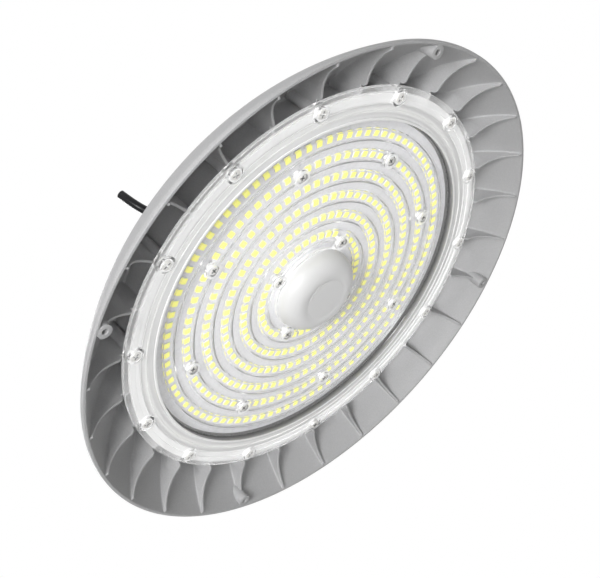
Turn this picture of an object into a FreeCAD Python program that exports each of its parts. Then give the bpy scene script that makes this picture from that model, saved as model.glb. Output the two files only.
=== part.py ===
"""Round LED high bay light: a finned die-cast heat sink with a clear ring lens, a driver drum and an eye bolt.

Frame: millimetres, +Z up as the light hangs. The origin is on the axis, in the plane of the rim's front
edge, and the light shines towards -Z. X runs along one fin. Each separate piece is written to
parts/NAME.step.
"""

import FreeCAD, Part
import math
import os

# ---------------------------------------------------------------- driving dimensions
# heat sink casting
RIM_RADIUS = 170.0            # outside of the rim
WALL = 1.8                    # wall of the bowl
RIM_LAND = 2.5                # straight band at the rim
BOWL_BULGE = 4.0              # how far the bowl's section stands out of its chord
FLOOR_Z = 40.4                # front of the bowl's floor where it meets the hub
FLOOR_THICKNESS = 2.25        # floor at the hub, measured along the axis
HUB_RADIUS = 127.8            # outside of the hub's wall
HUB_WALL = 4.0                # hub's wall behind the plate
PLATE_FRONT_Z = 22.2          # face that the LED board lies on
PLATE_THICKNESS = 4.0
FIN_COUNT = 28
FIN_THICKNESS = 1.7
FIN_TOP_Z = 12.2              # front edge of a fin beside the lens
FIN_TIP_Z = 0.4               # front edge of a fin at the rim
FIN_TIP_FLAT = 2.4            # straight end of a fin's edge, beside the rim
FIN_CORNER = 2.6              # rounded corner beside the lens
BACK_FIN_SETBACK = 1.0        # back fins end this much below the collar's face
BACK_FIN_DROP = 4.5           # how much lower the back fins are at the hub than at the collar
RIM_BOSS_COUNT = 4
RIM_BOSS_INSET = 6.0          # from the outside of the rim to a rim boss
RIM_BOSS_RADIUS = 4.0
RIM_BOSS_BORE = 1.65
RIM_BOSS_DEPTH = 7.0
COLLAR_RADIUS = 60.0          # ring on the back that carries the driver
COLLAR_WALL = 4.5
COLLAR_TOP_Z = 48.0

# lens, one clear moulding
LENS_SEAT_Z = 15.4            # back of the lens flange, on the hub
FLANGE_THICKNESS = 2.0        # lip outside the bead
BEAD_HEIGHT = 1.2             # bead and screw pads stand this much out of the lip
BEAD_WIDTH = 3.6
FLANGE_GAP = 1.2              # between the lens and the fins around it
FLANGE_OVERHANG = 10.1        # lens lip outside the hub's wall
OPTIC_FRONT_Z = 16.4          # lands between the ring lenses
OPTIC_THICKNESS = 1.8
RING_LAND = 3.2               # flat land between two ring lenses
RING_HEIGHT = 1.8             # how far a ring lens stands out of the lands
CHANNEL_HALF_WIDTH = 2.6      # groove behind each ring lens
CHANNEL_DEPTH = 1.0
SPIGOT_WALL = 2.0
SPIGOT_CLEARANCE = 0.5        # between the lens and the pocket's wall
POCKET_WALL = 8.3             # hub's seat, from the pocket to the hub's outside

# screws that hold the lens
FLANGE_SCREW_COUNT = 14
FLANGE_SCREW_OFFSET = 3.7     # screws stand this much outside the hub's wall
FLANGE_BOSS_RADIUS = 4.2
FLANGE_PAD_RADIUS = 5.6
FLANGE_HEAD_RADIUS = 3.5
FLANGE_SHANK_RADIUS = 1.9
FLANGE_SCREW_LENGTH = 12.0
HEAD_HEIGHT = 2.2
HEAD_RECESS = 1.0             # how deep a head's seat lies under the pad's face
INNER_SCREW_COUNT = 8
CENTRE_SCREW_COUNT = 4
CENTRE_SCREW_OFFSET = 6.4     # screws stand this much outside the dome
INNER_HEAD_RADIUS = 3.0
INNER_HEAD_HEIGHT = 1.9
INNER_SHANK_RADIUS = 1.5
INNER_SEAT_DEPTH = 0.5        # seat of an inner screw under the lens' lands
PILLAR_RADIUS = 4.0           # lens pillar on the LED board at each inner screw
SCREW_CLEARANCE = 0.15
HEAD_CLEARANCE = 0.6
THREAD_MARGIN = 0.4           # free depth under a screw's end

# gasket under the lens
GASKET_WIDTH = 2.6
GASKET_INSET = 3.7            # from the pocket's wall to the middle of the gasket
GASKET_DEPTH = 1.8
GASKET_CLEARANCE = 0.15

# LED board
BOARD_THICKNESS = 1.6
BOARD_CLEARANCE = 1.6         # between the board and the pocket's wall
LED_RING_COUNTS = (90, 80, 70, 60, 50, 40)    # LED places, from the outermost ring inwards
LED_OUTER_MARGIN = 13.5       # from the pocket's wall to the outermost ring
LED_INNER_MARGIN = 9.9        # from the dome to the innermost ring
LED_RADIAL = 3.5
LED_TANGENT = 2.8
LED_HEIGHT = 0.8
LEAD_HOLE_RADIUS = 6.0        # hole for the leads, through the board and the plate
LEAD_RADIUS = 1.1
LEAD_SPACING = 5.0

# sensor under the frosted dome
DOME_RADIUS = 28.0
DOME_FACE_RADIUS = 24.0       # side of the dome where its edge begins to round
DOME_EDGE = 6.0               # rounding of the dome's edge
DOME_END_Z = 4.0
DOME_WALL = 1.8
DOME_FOOT = 1.2               # foot that the lens holds down
DOME_CLEARANCE = 0.2
SENSOR_BOARD_RADIUS = 19.0
SENSOR_SOCKET = (14.0, 5.0, 3.0)
SENSOR_SOCKET_PLACE = 12.0    # from the axis
SENSOR_CAN = (16.0, 13.0, 3.6)

# driver housing
DRUM_SETBACK = 4.5            # wall of the drum inside the collar's face
DRUM_WALL = 2.5
DRUM_TOP_Z = 100.0
DRUM_EDGE = 5.0
DRUM_FLANGE_HEIGHT = 5.0
DRUM_FLANGE_EXTRA = 1.0       # drum's flange outside the collar
DRUM_GASKET_WIDTH = 4.0
DRUM_RIB_COUNT = 32
DRUM_RIB_PROUD = 3.0
DRUM_RIB_THICKNESS = 1.8
BASE_PLATE_THICKNESS = 2.0
DRUM_GASKET_THICKNESS = 1.0
DRUM_SCREW_COUNT = 6
DRUM_BOSS_RADIUS = 4.6
DRUM_HEAD_RADIUS = 3.6
DRUM_HEAD_HEIGHT = 2.6
DRUM_SHANK_RADIUS = 2.0
DRUM_SCREW_GRIP = 10.0        # thread inside the collar
TOP_BOSS_RADIUS = 13.0
TOP_BOSS_HEIGHT = 3.0

# driver electronics
DRIVER_BOARD = (78.0, 58.0, 1.6)
STANDOFF_HEIGHT = 6.0
STANDOFF_RADIUS = 2.6
STANDOFF_INSET = 4.0
TRANSFORMER = (30.0, 26.0, 22.0)
TRANSFORMER_PLACE = (-8.0, -8.0)
CAPACITOR_RADIUS = 7.0
CAPACITOR_HEIGHT = 24.0
CAPACITOR_PLACES = ((20.0, -16.0), (20.0, 0.0))
CHOKE_RADIUS = 9.0
CHOKE_HEIGHT = 13.0
CHOKE_PLACE = (-27.0, 14.0)
TERMINAL = (22.0, 9.0, 11.0)

# eye bolt on the drum
EYE_SHANK_RADIUS = 5.0
EYE_RING_RADIUS = 14.0        # middle of the bar
EYE_BAR_RADIUS = 3.8
EYE_COLLAR_RADIUS = 10.0
EYE_COLLAR_HEIGHT = 5.0
EYE_NUT_FLATS = 17.0
EYE_NUT_HEIGHT = 8.0
EYE_WASHER_RADIUS = 11.0
EYE_WASHER_THICKNESS = 2.0
EYE_INNER_NUT_HEIGHT = 6.0
EYE_SHANK_END = 2.0           # shank past the inner nut

# vent plug on the drum
VENT_PLACE = 34.0             # from the axis
VENT_FLATS = 16.0
VENT_HEX_HEIGHT = 2.8
VENT_CAP_HEIGHT = 7.0
VENT_CAP_RADIUS = 7.2
VENT_STEM_RADIUS = 5.0
VENT_STEM_END = 3.0           # stem inside the drum

# cable gland and cable, on the +Y side of the drum
CABLE_RADIUS = 2.6
GLAND_Z = 73.5
GLAND_NUT_LENGTH = 13.0
GLAND_BOSS_RADIUS = 11.0
GLAND_BOSS_DEPTH = 3.0        # pad inside the drum's wall
GLAND_BOSS_PROUD = 3.5
GLAND_STEM_RADIUS = 7.5
GLAND_FLATS = 20.0
GLAND_HEX_LENGTH = 5.0
GLAND_NOSE_RADIUS = 6.0
GLAND_WALL = 2.6
LOCK_NUT_LENGTH = 3.0
SEAL_CLEARANCE = 0.1
SEAL_SETBACK = 1.0            # seal inside the gland's mouth
CABLE_TAIL = 9.0              # cable inside the drum's wall
CABLE_ROUTE = (
    (0.0, 74.8, 73.5),
    (0.0, 85.3, 73.5),
    (0.0, 94.8, 78.0),
    (0.0, 101.6, 86.0),
    (0.0, 104.3, 96.1),
)

# ---------------------------------------------------------------- worked out from the above
HUB_SPACING = 360.0 / FIN_COUNT
SEAT_INNER_RADIUS = HUB_RADIUS - POCKET_WALL
FLANGE_SCREW_CIRCLE = HUB_RADIUS + FLANGE_SCREW_OFFSET
RIM_BOSS_CIRCLE = RIM_RADIUS - RIM_BOSS_INSET
CENTRE_SCREW_CIRCLE = DOME_RADIUS + CENTRE_SCREW_OFFSET
LED_OUTER_RADIUS = SEAT_INNER_RADIUS - LED_OUTER_MARGIN
LED_INNER_RADIUS = DOME_RADIUS + LED_INNER_MARGIN
LED_RING_PITCH = (LED_OUTER_RADIUS - LED_INNER_RADIUS) / (len(LED_RING_COUNTS) - 1)
LED_RING_RADII = [LED_OUTER_RADIUS - k * LED_RING_PITCH for k in range(len(LED_RING_COUNTS))]
RING_HALF_WIDTH = (LED_RING_PITCH - RING_LAND) / 2
PLATE_BACK_Z = PLATE_FRONT_Z + PLATE_THICKNESS
FLANGE_RADIUS = HUB_RADIUS + FLANGE_OVERHANG
FIN_INNER_RADIUS = FLANGE_RADIUS + FLANGE_GAP
LIP_FRONT_Z = LENS_SEAT_Z - FLANGE_THICKNESS
BEAD_FRONT_Z = LIP_FRONT_Z - BEAD_HEIGHT
FLANGE_SEAT_Z = BEAD_FRONT_Z + HEAD_RECESS
OPTIC_BACK_Z = OPTIC_FRONT_Z + OPTIC_THICKNESS
INNER_SEAT_Z = OPTIC_FRONT_Z + INNER_SEAT_DEPTH
BOARD_FRONT_Z = PLATE_FRONT_Z - BOARD_THICKNESS
BOARD_RADIUS = SEAT_INNER_RADIUS - BOARD_CLEARANCE
INNER_SCREW_CIRCLE = LED_RING_RADII[1]
GASKET_MIDDLE = SEAT_INNER_RADIUS + GASKET_INSET
BASE_PLATE_TOP_Z = COLLAR_TOP_Z + BASE_PLATE_THICKNESS
DRUM_BASE_Z = BASE_PLATE_TOP_Z + DRUM_GASKET_THICKNESS
DRUM_FLANGE_RADIUS = COLLAR_RADIUS + DRUM_FLANGE_EXTRA
DRUM_RADIUS = COLLAR_RADIUS - DRUM_SETBACK
DRUM_INNER_RADIUS = DRUM_RADIUS - DRUM_WALL
DRUM_INNER_TOP_Z = DRUM_TOP_Z - DRUM_WALL
DRIVER_BOARD_Z = BASE_PLATE_TOP_Z + STANDOFF_HEIGHT
DRIVER_BOARD_TOP_Z = DRIVER_BOARD_Z + DRIVER_BOARD[2]
TOP_BOSS_Z = DRUM_TOP_Z + TOP_BOSS_HEIGHT
GLAND_BOSS_FACE = DRUM_RADIUS + GLAND_BOSS_PROUD
GLAND_NUT_START = GLAND_BOSS_FACE + GLAND_HEX_LENGTH
GLAND_FACE = GLAND_NUT_START + GLAND_NUT_LENGTH
GLAND_STEM_START = DRUM_INNER_RADIUS - GLAND_BOSS_DEPTH - LOCK_NUT_LENGTH

ORIGIN = FreeCAD.Vector(0, 0, 0)
UP = FreeCAD.Vector(0, 0, 1)
OUT_Y = FreeCAD.Vector(0, 1, 0)


# ---------------------------------------------------------------- helpers
def section_point(radius, z):
    return FreeCAD.Vector(radius, 0, z)


def line(a, b):
    return Part.LineSegment(a, b).toShape()


def arc(a, middle, b):
    return Part.Arc(a, middle, b).toShape()


def bulged(a, b, rise):
    """Arc from a to b whose middle stands out of the chord, to the right of the way from a to b."""
    chord = b - a
    side = FreeCAD.Vector(chord.z, 0, -chord.x).normalize()
    return arc(a, (a + b) * 0.5 + side * rise, b)


def revolved(edges):
    return Part.Face(Part.Wire(edges)).revolve(ORIGIN, UP, 360)


def slab(edges, thickness):
    """A flat web of the given thickness, standing in the XZ plane."""
    face = Part.Face(Part.Wire(edges))
    face.translate(FreeCAD.Vector(0, -thickness / 2, 0))
    return face.extrude(FreeCAD.Vector(0, thickness, 0))


def cylinder(radius, low, high, x=0.0, y=0.0):
    return Part.makeCylinder(radius, high - low, FreeCAD.Vector(x, y, low))


def ring(outer, inner, low, high):
    return cylinder(outer, low, high).cut(cylinder(inner, low, high))


def block(size, x, y, low):
    corner = FreeCAD.Vector(x - size[0] / 2, y - size[1] / 2, low)
    return Part.makeBox(size[0], size[1], size[2], corner)


def hexagon(flats, low, high, x=0.0, y=0.0):
    side_radius = flats / math.sqrt(3)
    corners = [
        FreeCAD.Vector(x + side_radius * math.cos(k * math.pi / 3), y + side_radius * math.sin(k * math.pi / 3), low)
        for k in range(6)
    ]
    outline = Part.makePolygon(corners + corners[:1])
    return Part.Face(outline).extrude(FreeCAD.Vector(0, 0, high - low))


def along_y(shape, z):
    """Turn a shape built on the Z axis so that its height runs along +Y at height z."""
    out = shape.copy()
    out.rotate(ORIGIN, FreeCAD.Vector(1, 0, 0), -90)
    out.translate(FreeCAD.Vector(0, 0, z))
    return out


def around(shape, angles):
    copies = []
    for angle in angles:
        turned_copy = shape.copy()
        turned_copy.rotate(ORIGIN, UP, angle)
        copies.append(turned_copy)
    return copies


def circle_angles(count, first=0.0):
    return [first + k * 360.0 / count for k in range(count)]


def save(name, shape):
    shape.exportStep("parts/" + name + ".step")


FLANGE_SCREW_ANGLES = circle_angles(FLANGE_SCREW_COUNT, HUB_SPACING)
RIM_BOSS_ANGLES = circle_angles(RIM_BOSS_COUNT, -HUB_SPACING)
INNER_SCREW_ANGLES = circle_angles(INNER_SCREW_COUNT)
CENTRE_SCREW_ANGLES = circle_angles(CENTRE_SCREW_COUNT)
DRUM_SCREW_ANGLES = circle_angles(DRUM_SCREW_COUNT)


# ---------------------------------------------------------------- heat sink
def bowl_arc(offset):
    """The bowl's section, from the rim to the hub, at this distance behind its front surface."""
    rim = section_point(RIM_RADIUS - WALL + offset, RIM_LAND * offset / WALL)
    floor = section_point(HUB_RADIUS, FLOOR_Z + FLOOR_THICKNESS * offset / WALL)
    return bulged(rim, floor, BOWL_BULGE)


def heat_sink_body():
    """Bowl, hub, pocket, plate and collar in one turned section."""
    front = bowl_arc(0.0)
    back = bowl_arc(WALL)
    rim_front_inner = front.Vertexes[0].Point
    floor_front = front.Vertexes[-1].Point
    rim_back = back.Vertexes[0].Point
    floor_back = back.Vertexes[-1].Point
    hub_back_inner = section_point(HUB_RADIUS - HUB_WALL, floor_back.z)
    path = [
        floor_front,
        section_point(HUB_RADIUS, LENS_SEAT_Z),
        section_point(SEAT_INNER_RADIUS, LENS_SEAT_Z),
        section_point(SEAT_INNER_RADIUS, PLATE_FRONT_Z),
        section_point(LEAD_HOLE_RADIUS, PLATE_FRONT_Z),
        section_point(LEAD_HOLE_RADIUS, PLATE_BACK_Z),
        section_point(COLLAR_RADIUS - COLLAR_WALL, PLATE_BACK_Z),
        section_point(COLLAR_RADIUS - COLLAR_WALL, COLLAR_TOP_Z),
        section_point(COLLAR_RADIUS, COLLAR_TOP_Z),
        section_point(COLLAR_RADIUS, PLATE_BACK_Z),
        section_point(HUB_RADIUS - HUB_WALL, PLATE_BACK_Z),
        hub_back_inner,
        floor_back,
    ]
    edges = [front]
    edges += [line(a, b) for a, b in zip(path, path[1:])]
    edges += [back]
    rim_front_outer = section_point(RIM_RADIUS, 0)
    edges += [line(rim_back, rim_front_outer), line(rim_front_outer, rim_front_inner)]
    return revolved(Part.sortEdges(edges)[0])


def casting_envelope():
    """Everything in front of the bowl's back surface: webs and bosses end inside it."""
    back = bowl_arc(WALL)
    rim_back = back.Vertexes[0].Point
    floor_back = back.Vertexes[-1].Point
    path = [floor_back, section_point(0, floor_back.z), section_point(0, 0), section_point(RIM_RADIUS, 0), rim_back]
    edges = [line(a, b) for a, b in zip(path, path[1:])]
    return revolved(Part.sortEdges([back] + edges)[0])


def front_fin():
    """One web between the hub and the bowl, with its hollow front edge and its step under the lens."""
    corner = FIN_CORNER
    top_start = section_point(FIN_INNER_RADIUS + corner, FIN_TOP_Z)
    tip = section_point(RIM_RADIUS - WALL - FIN_TIP_FLAT, FIN_TIP_Z)
    reach = tip.x - top_start.x
    fall = FIN_TOP_Z - FIN_TIP_Z
    arc_radius = (reach**2 + fall**2) / (2 * fall)
    half_angle = math.asin(reach / arc_radius) / 2
    middle = section_point(
        top_start.x + arc_radius * math.sin(half_angle), FIN_TOP_Z - arc_radius * (1 - math.cos(half_angle))
    )
    corner_middle = section_point(
        FIN_INNER_RADIUS + corner * (1 - math.sqrt(0.5)), FIN_TOP_Z + corner * (1 - math.sqrt(0.5))
    )
    corner_end = section_point(FIN_INNER_RADIUS, FIN_TOP_Z + corner)
    shelf_z = LENS_SEAT_Z + FLANGE_GAP / 2
    rim_inside = RIM_RADIUS - WALL / 2
    behind = FLOOR_Z + FLOOR_THICKNESS
    path = [
        corner_end,
        section_point(FIN_INNER_RADIUS, shelf_z),
        section_point(HUB_RADIUS - HUB_WALL / 2, shelf_z),
        section_point(HUB_RADIUS - HUB_WALL / 2, behind),
        section_point(rim_inside, behind),
        section_point(rim_inside, FIN_TIP_Z),
        tip,
    ]
    edges = [arc(top_start, middle, tip), arc(top_start, corner_middle, corner_end)]
    edges += [line(a, b) for a, b in zip(path, path[1:])]
    return slab(Part.sortEdges(edges)[0], FIN_THICKNESS)


def back_fin():
    """One web behind the plate, from the driver's collar to the hub's wall."""
    inside = COLLAR_RADIUS - COLLAR_WALL / 2
    outside = HUB_RADIUS - HUB_WALL / 2
    low = PLATE_BACK_Z - PLATE_THICKNESS / 2
    high = COLLAR_TOP_Z - BACK_FIN_SETBACK
    corners = [
        section_point(inside, low),
        section_point(outside, low),
        section_point(outside, high - BACK_FIN_DROP),
        section_point(inside, high),
    ]
    return slab([line(a, b) for a, b in zip(corners, corners[1:] + corners[:1])], FIN_THICKNESS)


def heat_sink():
    envelope = casting_envelope()
    flange_boss = cylinder(FLANGE_BOSS_RADIUS, LENS_SEAT_Z, FLOOR_Z + FLOOR_THICKNESS, FLANGE_SCREW_CIRCLE)
    rim_boss = cylinder(RIM_BOSS_RADIUS, 0, FLOOR_Z, RIM_BOSS_CIRCLE)
    screw_collar = cylinder(DRUM_BOSS_RADIUS, PLATE_BACK_Z, COLLAR_TOP_Z, COLLAR_RADIUS)
    body = heat_sink_body()
    for piece, angles in (
        (front_fin().common(envelope).Solids[0], circle_angles(FIN_COUNT)),
        (back_fin(), circle_angles(FIN_COUNT, HUB_SPACING / 2)),
        (flange_boss.common(envelope).Solids[0], FLANGE_SCREW_ANGLES),
        (rim_boss.common(envelope).Solids[0], RIM_BOSS_ANGLES),
        (screw_collar, DRUM_SCREW_ANGLES),
    ):
        body = body.fuse(around(piece, angles)).Solids[0]

    flange_hole_depth = FLANGE_SCREW_LENGTH - (LENS_SEAT_Z - FLANGE_SEAT_Z) + THREAD_MARGIN
    flange_hole = cylinder(
        FLANGE_SHANK_RADIUS + SCREW_CLEARANCE, LENS_SEAT_Z, LENS_SEAT_Z + flange_hole_depth, FLANGE_SCREW_CIRCLE
    )
    rim_hole = cylinder(RIM_BOSS_BORE, 0, RIM_BOSS_DEPTH, RIM_BOSS_CIRCLE)
    thread_end = PLATE_BACK_Z - THREAD_MARGIN
    inner_bore = INNER_SHANK_RADIUS + SCREW_CLEARANCE
    inner_hole = cylinder(inner_bore, PLATE_FRONT_Z, thread_end, INNER_SCREW_CIRCLE)
    centre_hole = cylinder(inner_bore, PLATE_FRONT_Z, thread_end, CENTRE_SCREW_CIRCLE)
    drum_hole = cylinder(
        DRUM_SHANK_RADIUS + SCREW_CLEARANCE, COLLAR_TOP_Z - DRUM_SCREW_GRIP - THREAD_MARGIN, COLLAR_TOP_Z, COLLAR_RADIUS
    )
    middle = GASKET_MIDDLE
    half = GASKET_WIDTH / 2 + GASKET_CLEARANCE
    groove = ring(middle + half, middle - half, LENS_SEAT_Z, LENS_SEAT_Z + GASKET_DEPTH)
    body = body.cut(groove)
    for hole, angles in (
        (flange_hole, FLANGE_SCREW_ANGLES),
        (rim_hole, RIM_BOSS_ANGLES),
        (inner_hole, INNER_SCREW_ANGLES),
        (centre_hole, CENTRE_SCREW_ANGLES),
        (drum_hole, DRUM_SCREW_ANGLES),
    ):
        body = body.cut(around(hole, angles))
    return body.Solids[0]


# ---------------------------------------------------------------- lens and its screws
def lens_section():
    """Flange with its bead, spigot, and an optic plate with one ring lens over each ring of LEDs."""
    spigot_outer = SEAT_INNER_RADIUS - SPIGOT_CLEARANCE
    spigot_inner = spigot_outer - SPIGOT_WALL
    bead_outer = FLANGE_SCREW_CIRCLE + 0.75 * BEAD_WIDTH
    bead_inner = bead_outer - BEAD_WIDTH
    web_front_z = LIP_FRONT_Z - BEAD_HEIGHT / 3
    hole = DOME_RADIUS + DOME_CLEARANCE
    hole_back = section_point(hole, OPTIC_BACK_Z)
    here = section_point(hole, OPTIC_FRONT_Z)
    edges = [line(hole_back, here)]
    for radius in reversed(LED_RING_RADII):
        start = section_point(radius - RING_HALF_WIDTH, OPTIC_FRONT_Z)
        top = section_point(radius, OPTIC_FRONT_Z - RING_HEIGHT)
        end = section_point(radius + RING_HALF_WIDTH, OPTIC_FRONT_Z)
        edges += [line(here, start), arc(start, top, end)]
        here = end
    path = [
        here,
        section_point(spigot_inner, OPTIC_FRONT_Z),
        section_point(spigot_inner, web_front_z),
        section_point(bead_inner, web_front_z),
        section_point(bead_inner, BEAD_FRONT_Z),
        section_point(bead_outer, BEAD_FRONT_Z),
        section_point(bead_outer, LIP_FRONT_Z),
        section_point(FLANGE_RADIUS, LIP_FRONT_Z),
        section_point(FLANGE_RADIUS, LENS_SEAT_Z),
        section_point(spigot_outer, LENS_SEAT_Z),
        section_point(spigot_outer, OPTIC_BACK_Z),
    ]
    edges += [line(a, b) for a, b in zip(path, path[1:])]
    here = path[-1]
    for radius in LED_RING_RADII:
        start = section_point(radius + CHANNEL_HALF_WIDTH, OPTIC_BACK_Z)
        top = section_point(radius, OPTIC_BACK_Z - CHANNEL_DEPTH)
        end = section_point(radius - CHANNEL_HALF_WIDTH, OPTIC_BACK_Z)
        edges += [line(here, start), arc(start, top, end)]
        here = end
    edges.append(line(here, hole_back))
    return edges


def lens():
    body = revolved(lens_section())
    pad = cylinder(FLANGE_PAD_RADIUS, BEAD_FRONT_Z, LENS_SEAT_Z, FLANGE_SCREW_CIRCLE)
    inner_well = cylinder(
        INNER_HEAD_RADIUS + HEAD_CLEARANCE, OPTIC_FRONT_Z - RING_HEIGHT, INNER_SEAT_Z, INNER_SCREW_CIRCLE
    )
    centre_well = cylinder(
        INNER_HEAD_RADIUS + HEAD_CLEARANCE, OPTIC_FRONT_Z - RING_HEIGHT, INNER_SEAT_Z, CENTRE_SCREW_CIRCLE
    )
    inner_pillar = cylinder(PILLAR_RADIUS, INNER_SEAT_Z, BOARD_FRONT_Z, INNER_SCREW_CIRCLE)
    centre_pillar = cylinder(PILLAR_RADIUS, INNER_SEAT_Z, BOARD_FRONT_Z, CENTRE_SCREW_CIRCLE)
    added = around(pad, FLANGE_SCREW_ANGLES)
    added += around(inner_pillar, INNER_SCREW_ANGLES)
    added += around(centre_pillar, CENTRE_SCREW_ANGLES)
    body = body.fuse(added)

    flange_well = cylinder(FLANGE_HEAD_RADIUS + HEAD_CLEARANCE, BEAD_FRONT_Z, FLANGE_SEAT_Z, FLANGE_SCREW_CIRCLE)
    flange_hole = cylinder(FLANGE_SHANK_RADIUS + SCREW_CLEARANCE, BEAD_FRONT_Z, LENS_SEAT_Z, FLANGE_SCREW_CIRCLE)
    inner_bore = INNER_SHANK_RADIUS + SCREW_CLEARANCE
    inner_hole = cylinder(inner_bore, INNER_SEAT_Z, BOARD_FRONT_Z, INNER_SCREW_CIRCLE)
    centre_hole = cylinder(inner_bore, INNER_SEAT_Z, BOARD_FRONT_Z, CENTRE_SCREW_CIRCLE)
    cuts = around(flange_well, FLANGE_SCREW_ANGLES) + around(flange_hole, FLANGE_SCREW_ANGLES)
    cuts += around(inner_well, INNER_SCREW_ANGLES) + around(inner_hole, INNER_SCREW_ANGLES)
    cuts += around(centre_well, CENTRE_SCREW_ANGLES) + around(centre_hole, CENTRE_SCREW_ANGLES)
    return body.cut(cuts)


def screw_down(head_radius, head_height, shank_radius, seat_z, length, place):
    """A screw driven towards +Z, its head in front of seat_z."""
    head = cylinder(head_radius, seat_z - head_height, seat_z, place)
    return head.fuse(cylinder(shank_radius, seat_z, seat_z + length, place)).removeSplitter()


def flange_screws():
    screw = screw_down(
        FLANGE_HEAD_RADIUS, HEAD_HEIGHT, FLANGE_SHANK_RADIUS, FLANGE_SEAT_Z, FLANGE_SCREW_LENGTH, FLANGE_SCREW_CIRCLE
    )
    return Part.makeCompound(around(screw, FLANGE_SCREW_ANGLES))


def inner_screws(circle, angles):
    length = PLATE_BACK_Z - 2 * THREAD_MARGIN - INNER_SEAT_Z
    screw = screw_down(INNER_HEAD_RADIUS, INNER_HEAD_HEIGHT, INNER_SHANK_RADIUS, INNER_SEAT_Z, length, circle)
    return Part.makeCompound(around(screw, angles))


def lens_gasket():
    half = GASKET_WIDTH / 2
    return ring(GASKET_MIDDLE + half, GASKET_MIDDLE - half, LENS_SEAT_Z, LENS_SEAT_Z + GASKET_DEPTH)


# ---------------------------------------------------------------- LED board
def led_board():
    bore = INNER_SHANK_RADIUS + SCREW_CLEARANCE
    body = ring(BOARD_RADIUS, LEAD_HOLE_RADIUS, BOARD_FRONT_Z, PLATE_FRONT_Z)
    inner_hole = cylinder(bore, BOARD_FRONT_Z, PLATE_FRONT_Z, INNER_SCREW_CIRCLE)
    centre_hole = cylinder(bore, BOARD_FRONT_Z, PLATE_FRONT_Z, CENTRE_SCREW_CIRCLE)
    return body.cut(around(inner_hole, INNER_SCREW_ANGLES) + around(centre_hole, CENTRE_SCREW_ANGLES))


def led_ring(radius, count, screw_angles):
    """One ring of LEDs, without those whose places the screws take."""
    package = block((LED_RADIAL, LED_TANGENT, LED_HEIGHT), radius, 0, BOARD_FRONT_Z - LED_HEIGHT)
    taken = {round(angle % 360, 3) for angle in screw_angles}
    angles = [a for a in circle_angles(count) if round(a % 360, 3) not in taken]
    return Part.makeCompound(around(package, angles))


def led_leads():
    half = LEAD_SPACING / 2
    leads = [cylinder(LEAD_RADIUS, PLATE_FRONT_Z, DRIVER_BOARD_Z, x) for x in (-half, half)]
    return Part.makeCompound(leads)


# ---------------------------------------------------------------- sensor
def dome_profile(inset, low_z):
    """Half section of the dome, this much inside its outer surface, open at low_z."""
    end_z = DOME_END_Z + inset
    base = section_point(DOME_RADIUS - inset, low_z)
    shoulder = section_point(DOME_FACE_RADIUS - inset, end_z + DOME_EDGE)
    flat = section_point(DOME_FACE_RADIUS - inset - DOME_EDGE, end_z)
    middle = section_point(
        DOME_FACE_RADIUS - inset - DOME_EDGE * (1 - math.sqrt(0.5)), end_z + DOME_EDGE * (1 - math.sqrt(0.5))
    )
    start = section_point(DOME_RADIUS - inset, OPTIC_FRONT_Z)
    centre = section_point(0, end_z)
    back = section_point(0, low_z)
    edges = [line(base, start), line(start, shoulder), arc(shoulder, middle, flat)]
    edges += [line(flat, centre), line(centre, back), line(back, base)]
    return revolved(edges)


def sensor_dome():
    foot_front = OPTIC_BACK_Z
    foot = cylinder(DOME_RADIUS + DOME_FOOT, foot_front, BOARD_FRONT_Z)
    shell = dome_profile(0.0, BOARD_FRONT_Z).fuse(foot)
    return shell.cut(dome_profile(DOME_WALL, BOARD_FRONT_Z)).removeSplitter()


def sensor_parts():
    socket_front = BOARD_FRONT_Z - SENSOR_SOCKET[2]
    board_front = socket_front - BOARD_THICKNESS
    socket = block(SENSOR_SOCKET, 0, -SENSOR_SOCKET_PLACE, socket_front)
    board = cylinder(SENSOR_BOARD_RADIUS, board_front, socket_front)
    can = block(SENSOR_CAN, 0, 0, board_front - SENSOR_CAN[2])
    return socket, board, can


# ---------------------------------------------------------------- driver housing
def base_plate():
    body = ring(COLLAR_RADIUS, LEAD_HOLE_RADIUS, COLLAR_TOP_Z, BASE_PLATE_TOP_Z)
    lobe = cylinder(DRUM_BOSS_RADIUS, COLLAR_TOP_Z, BASE_PLATE_TOP_Z, COLLAR_RADIUS)
    hole = cylinder(DRUM_SHANK_RADIUS + SCREW_CLEARANCE, COLLAR_TOP_Z, BASE_PLATE_TOP_Z, COLLAR_RADIUS)
    return body.fuse(around(lobe, DRUM_SCREW_ANGLES)).cut(around(hole, DRUM_SCREW_ANGLES)).removeSplitter()


def drum_gasket():
    return ring(DRUM_INNER_RADIUS + DRUM_GASKET_WIDTH, DRUM_INNER_RADIUS, BASE_PLATE_TOP_Z, DRUM_BASE_Z)


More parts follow.
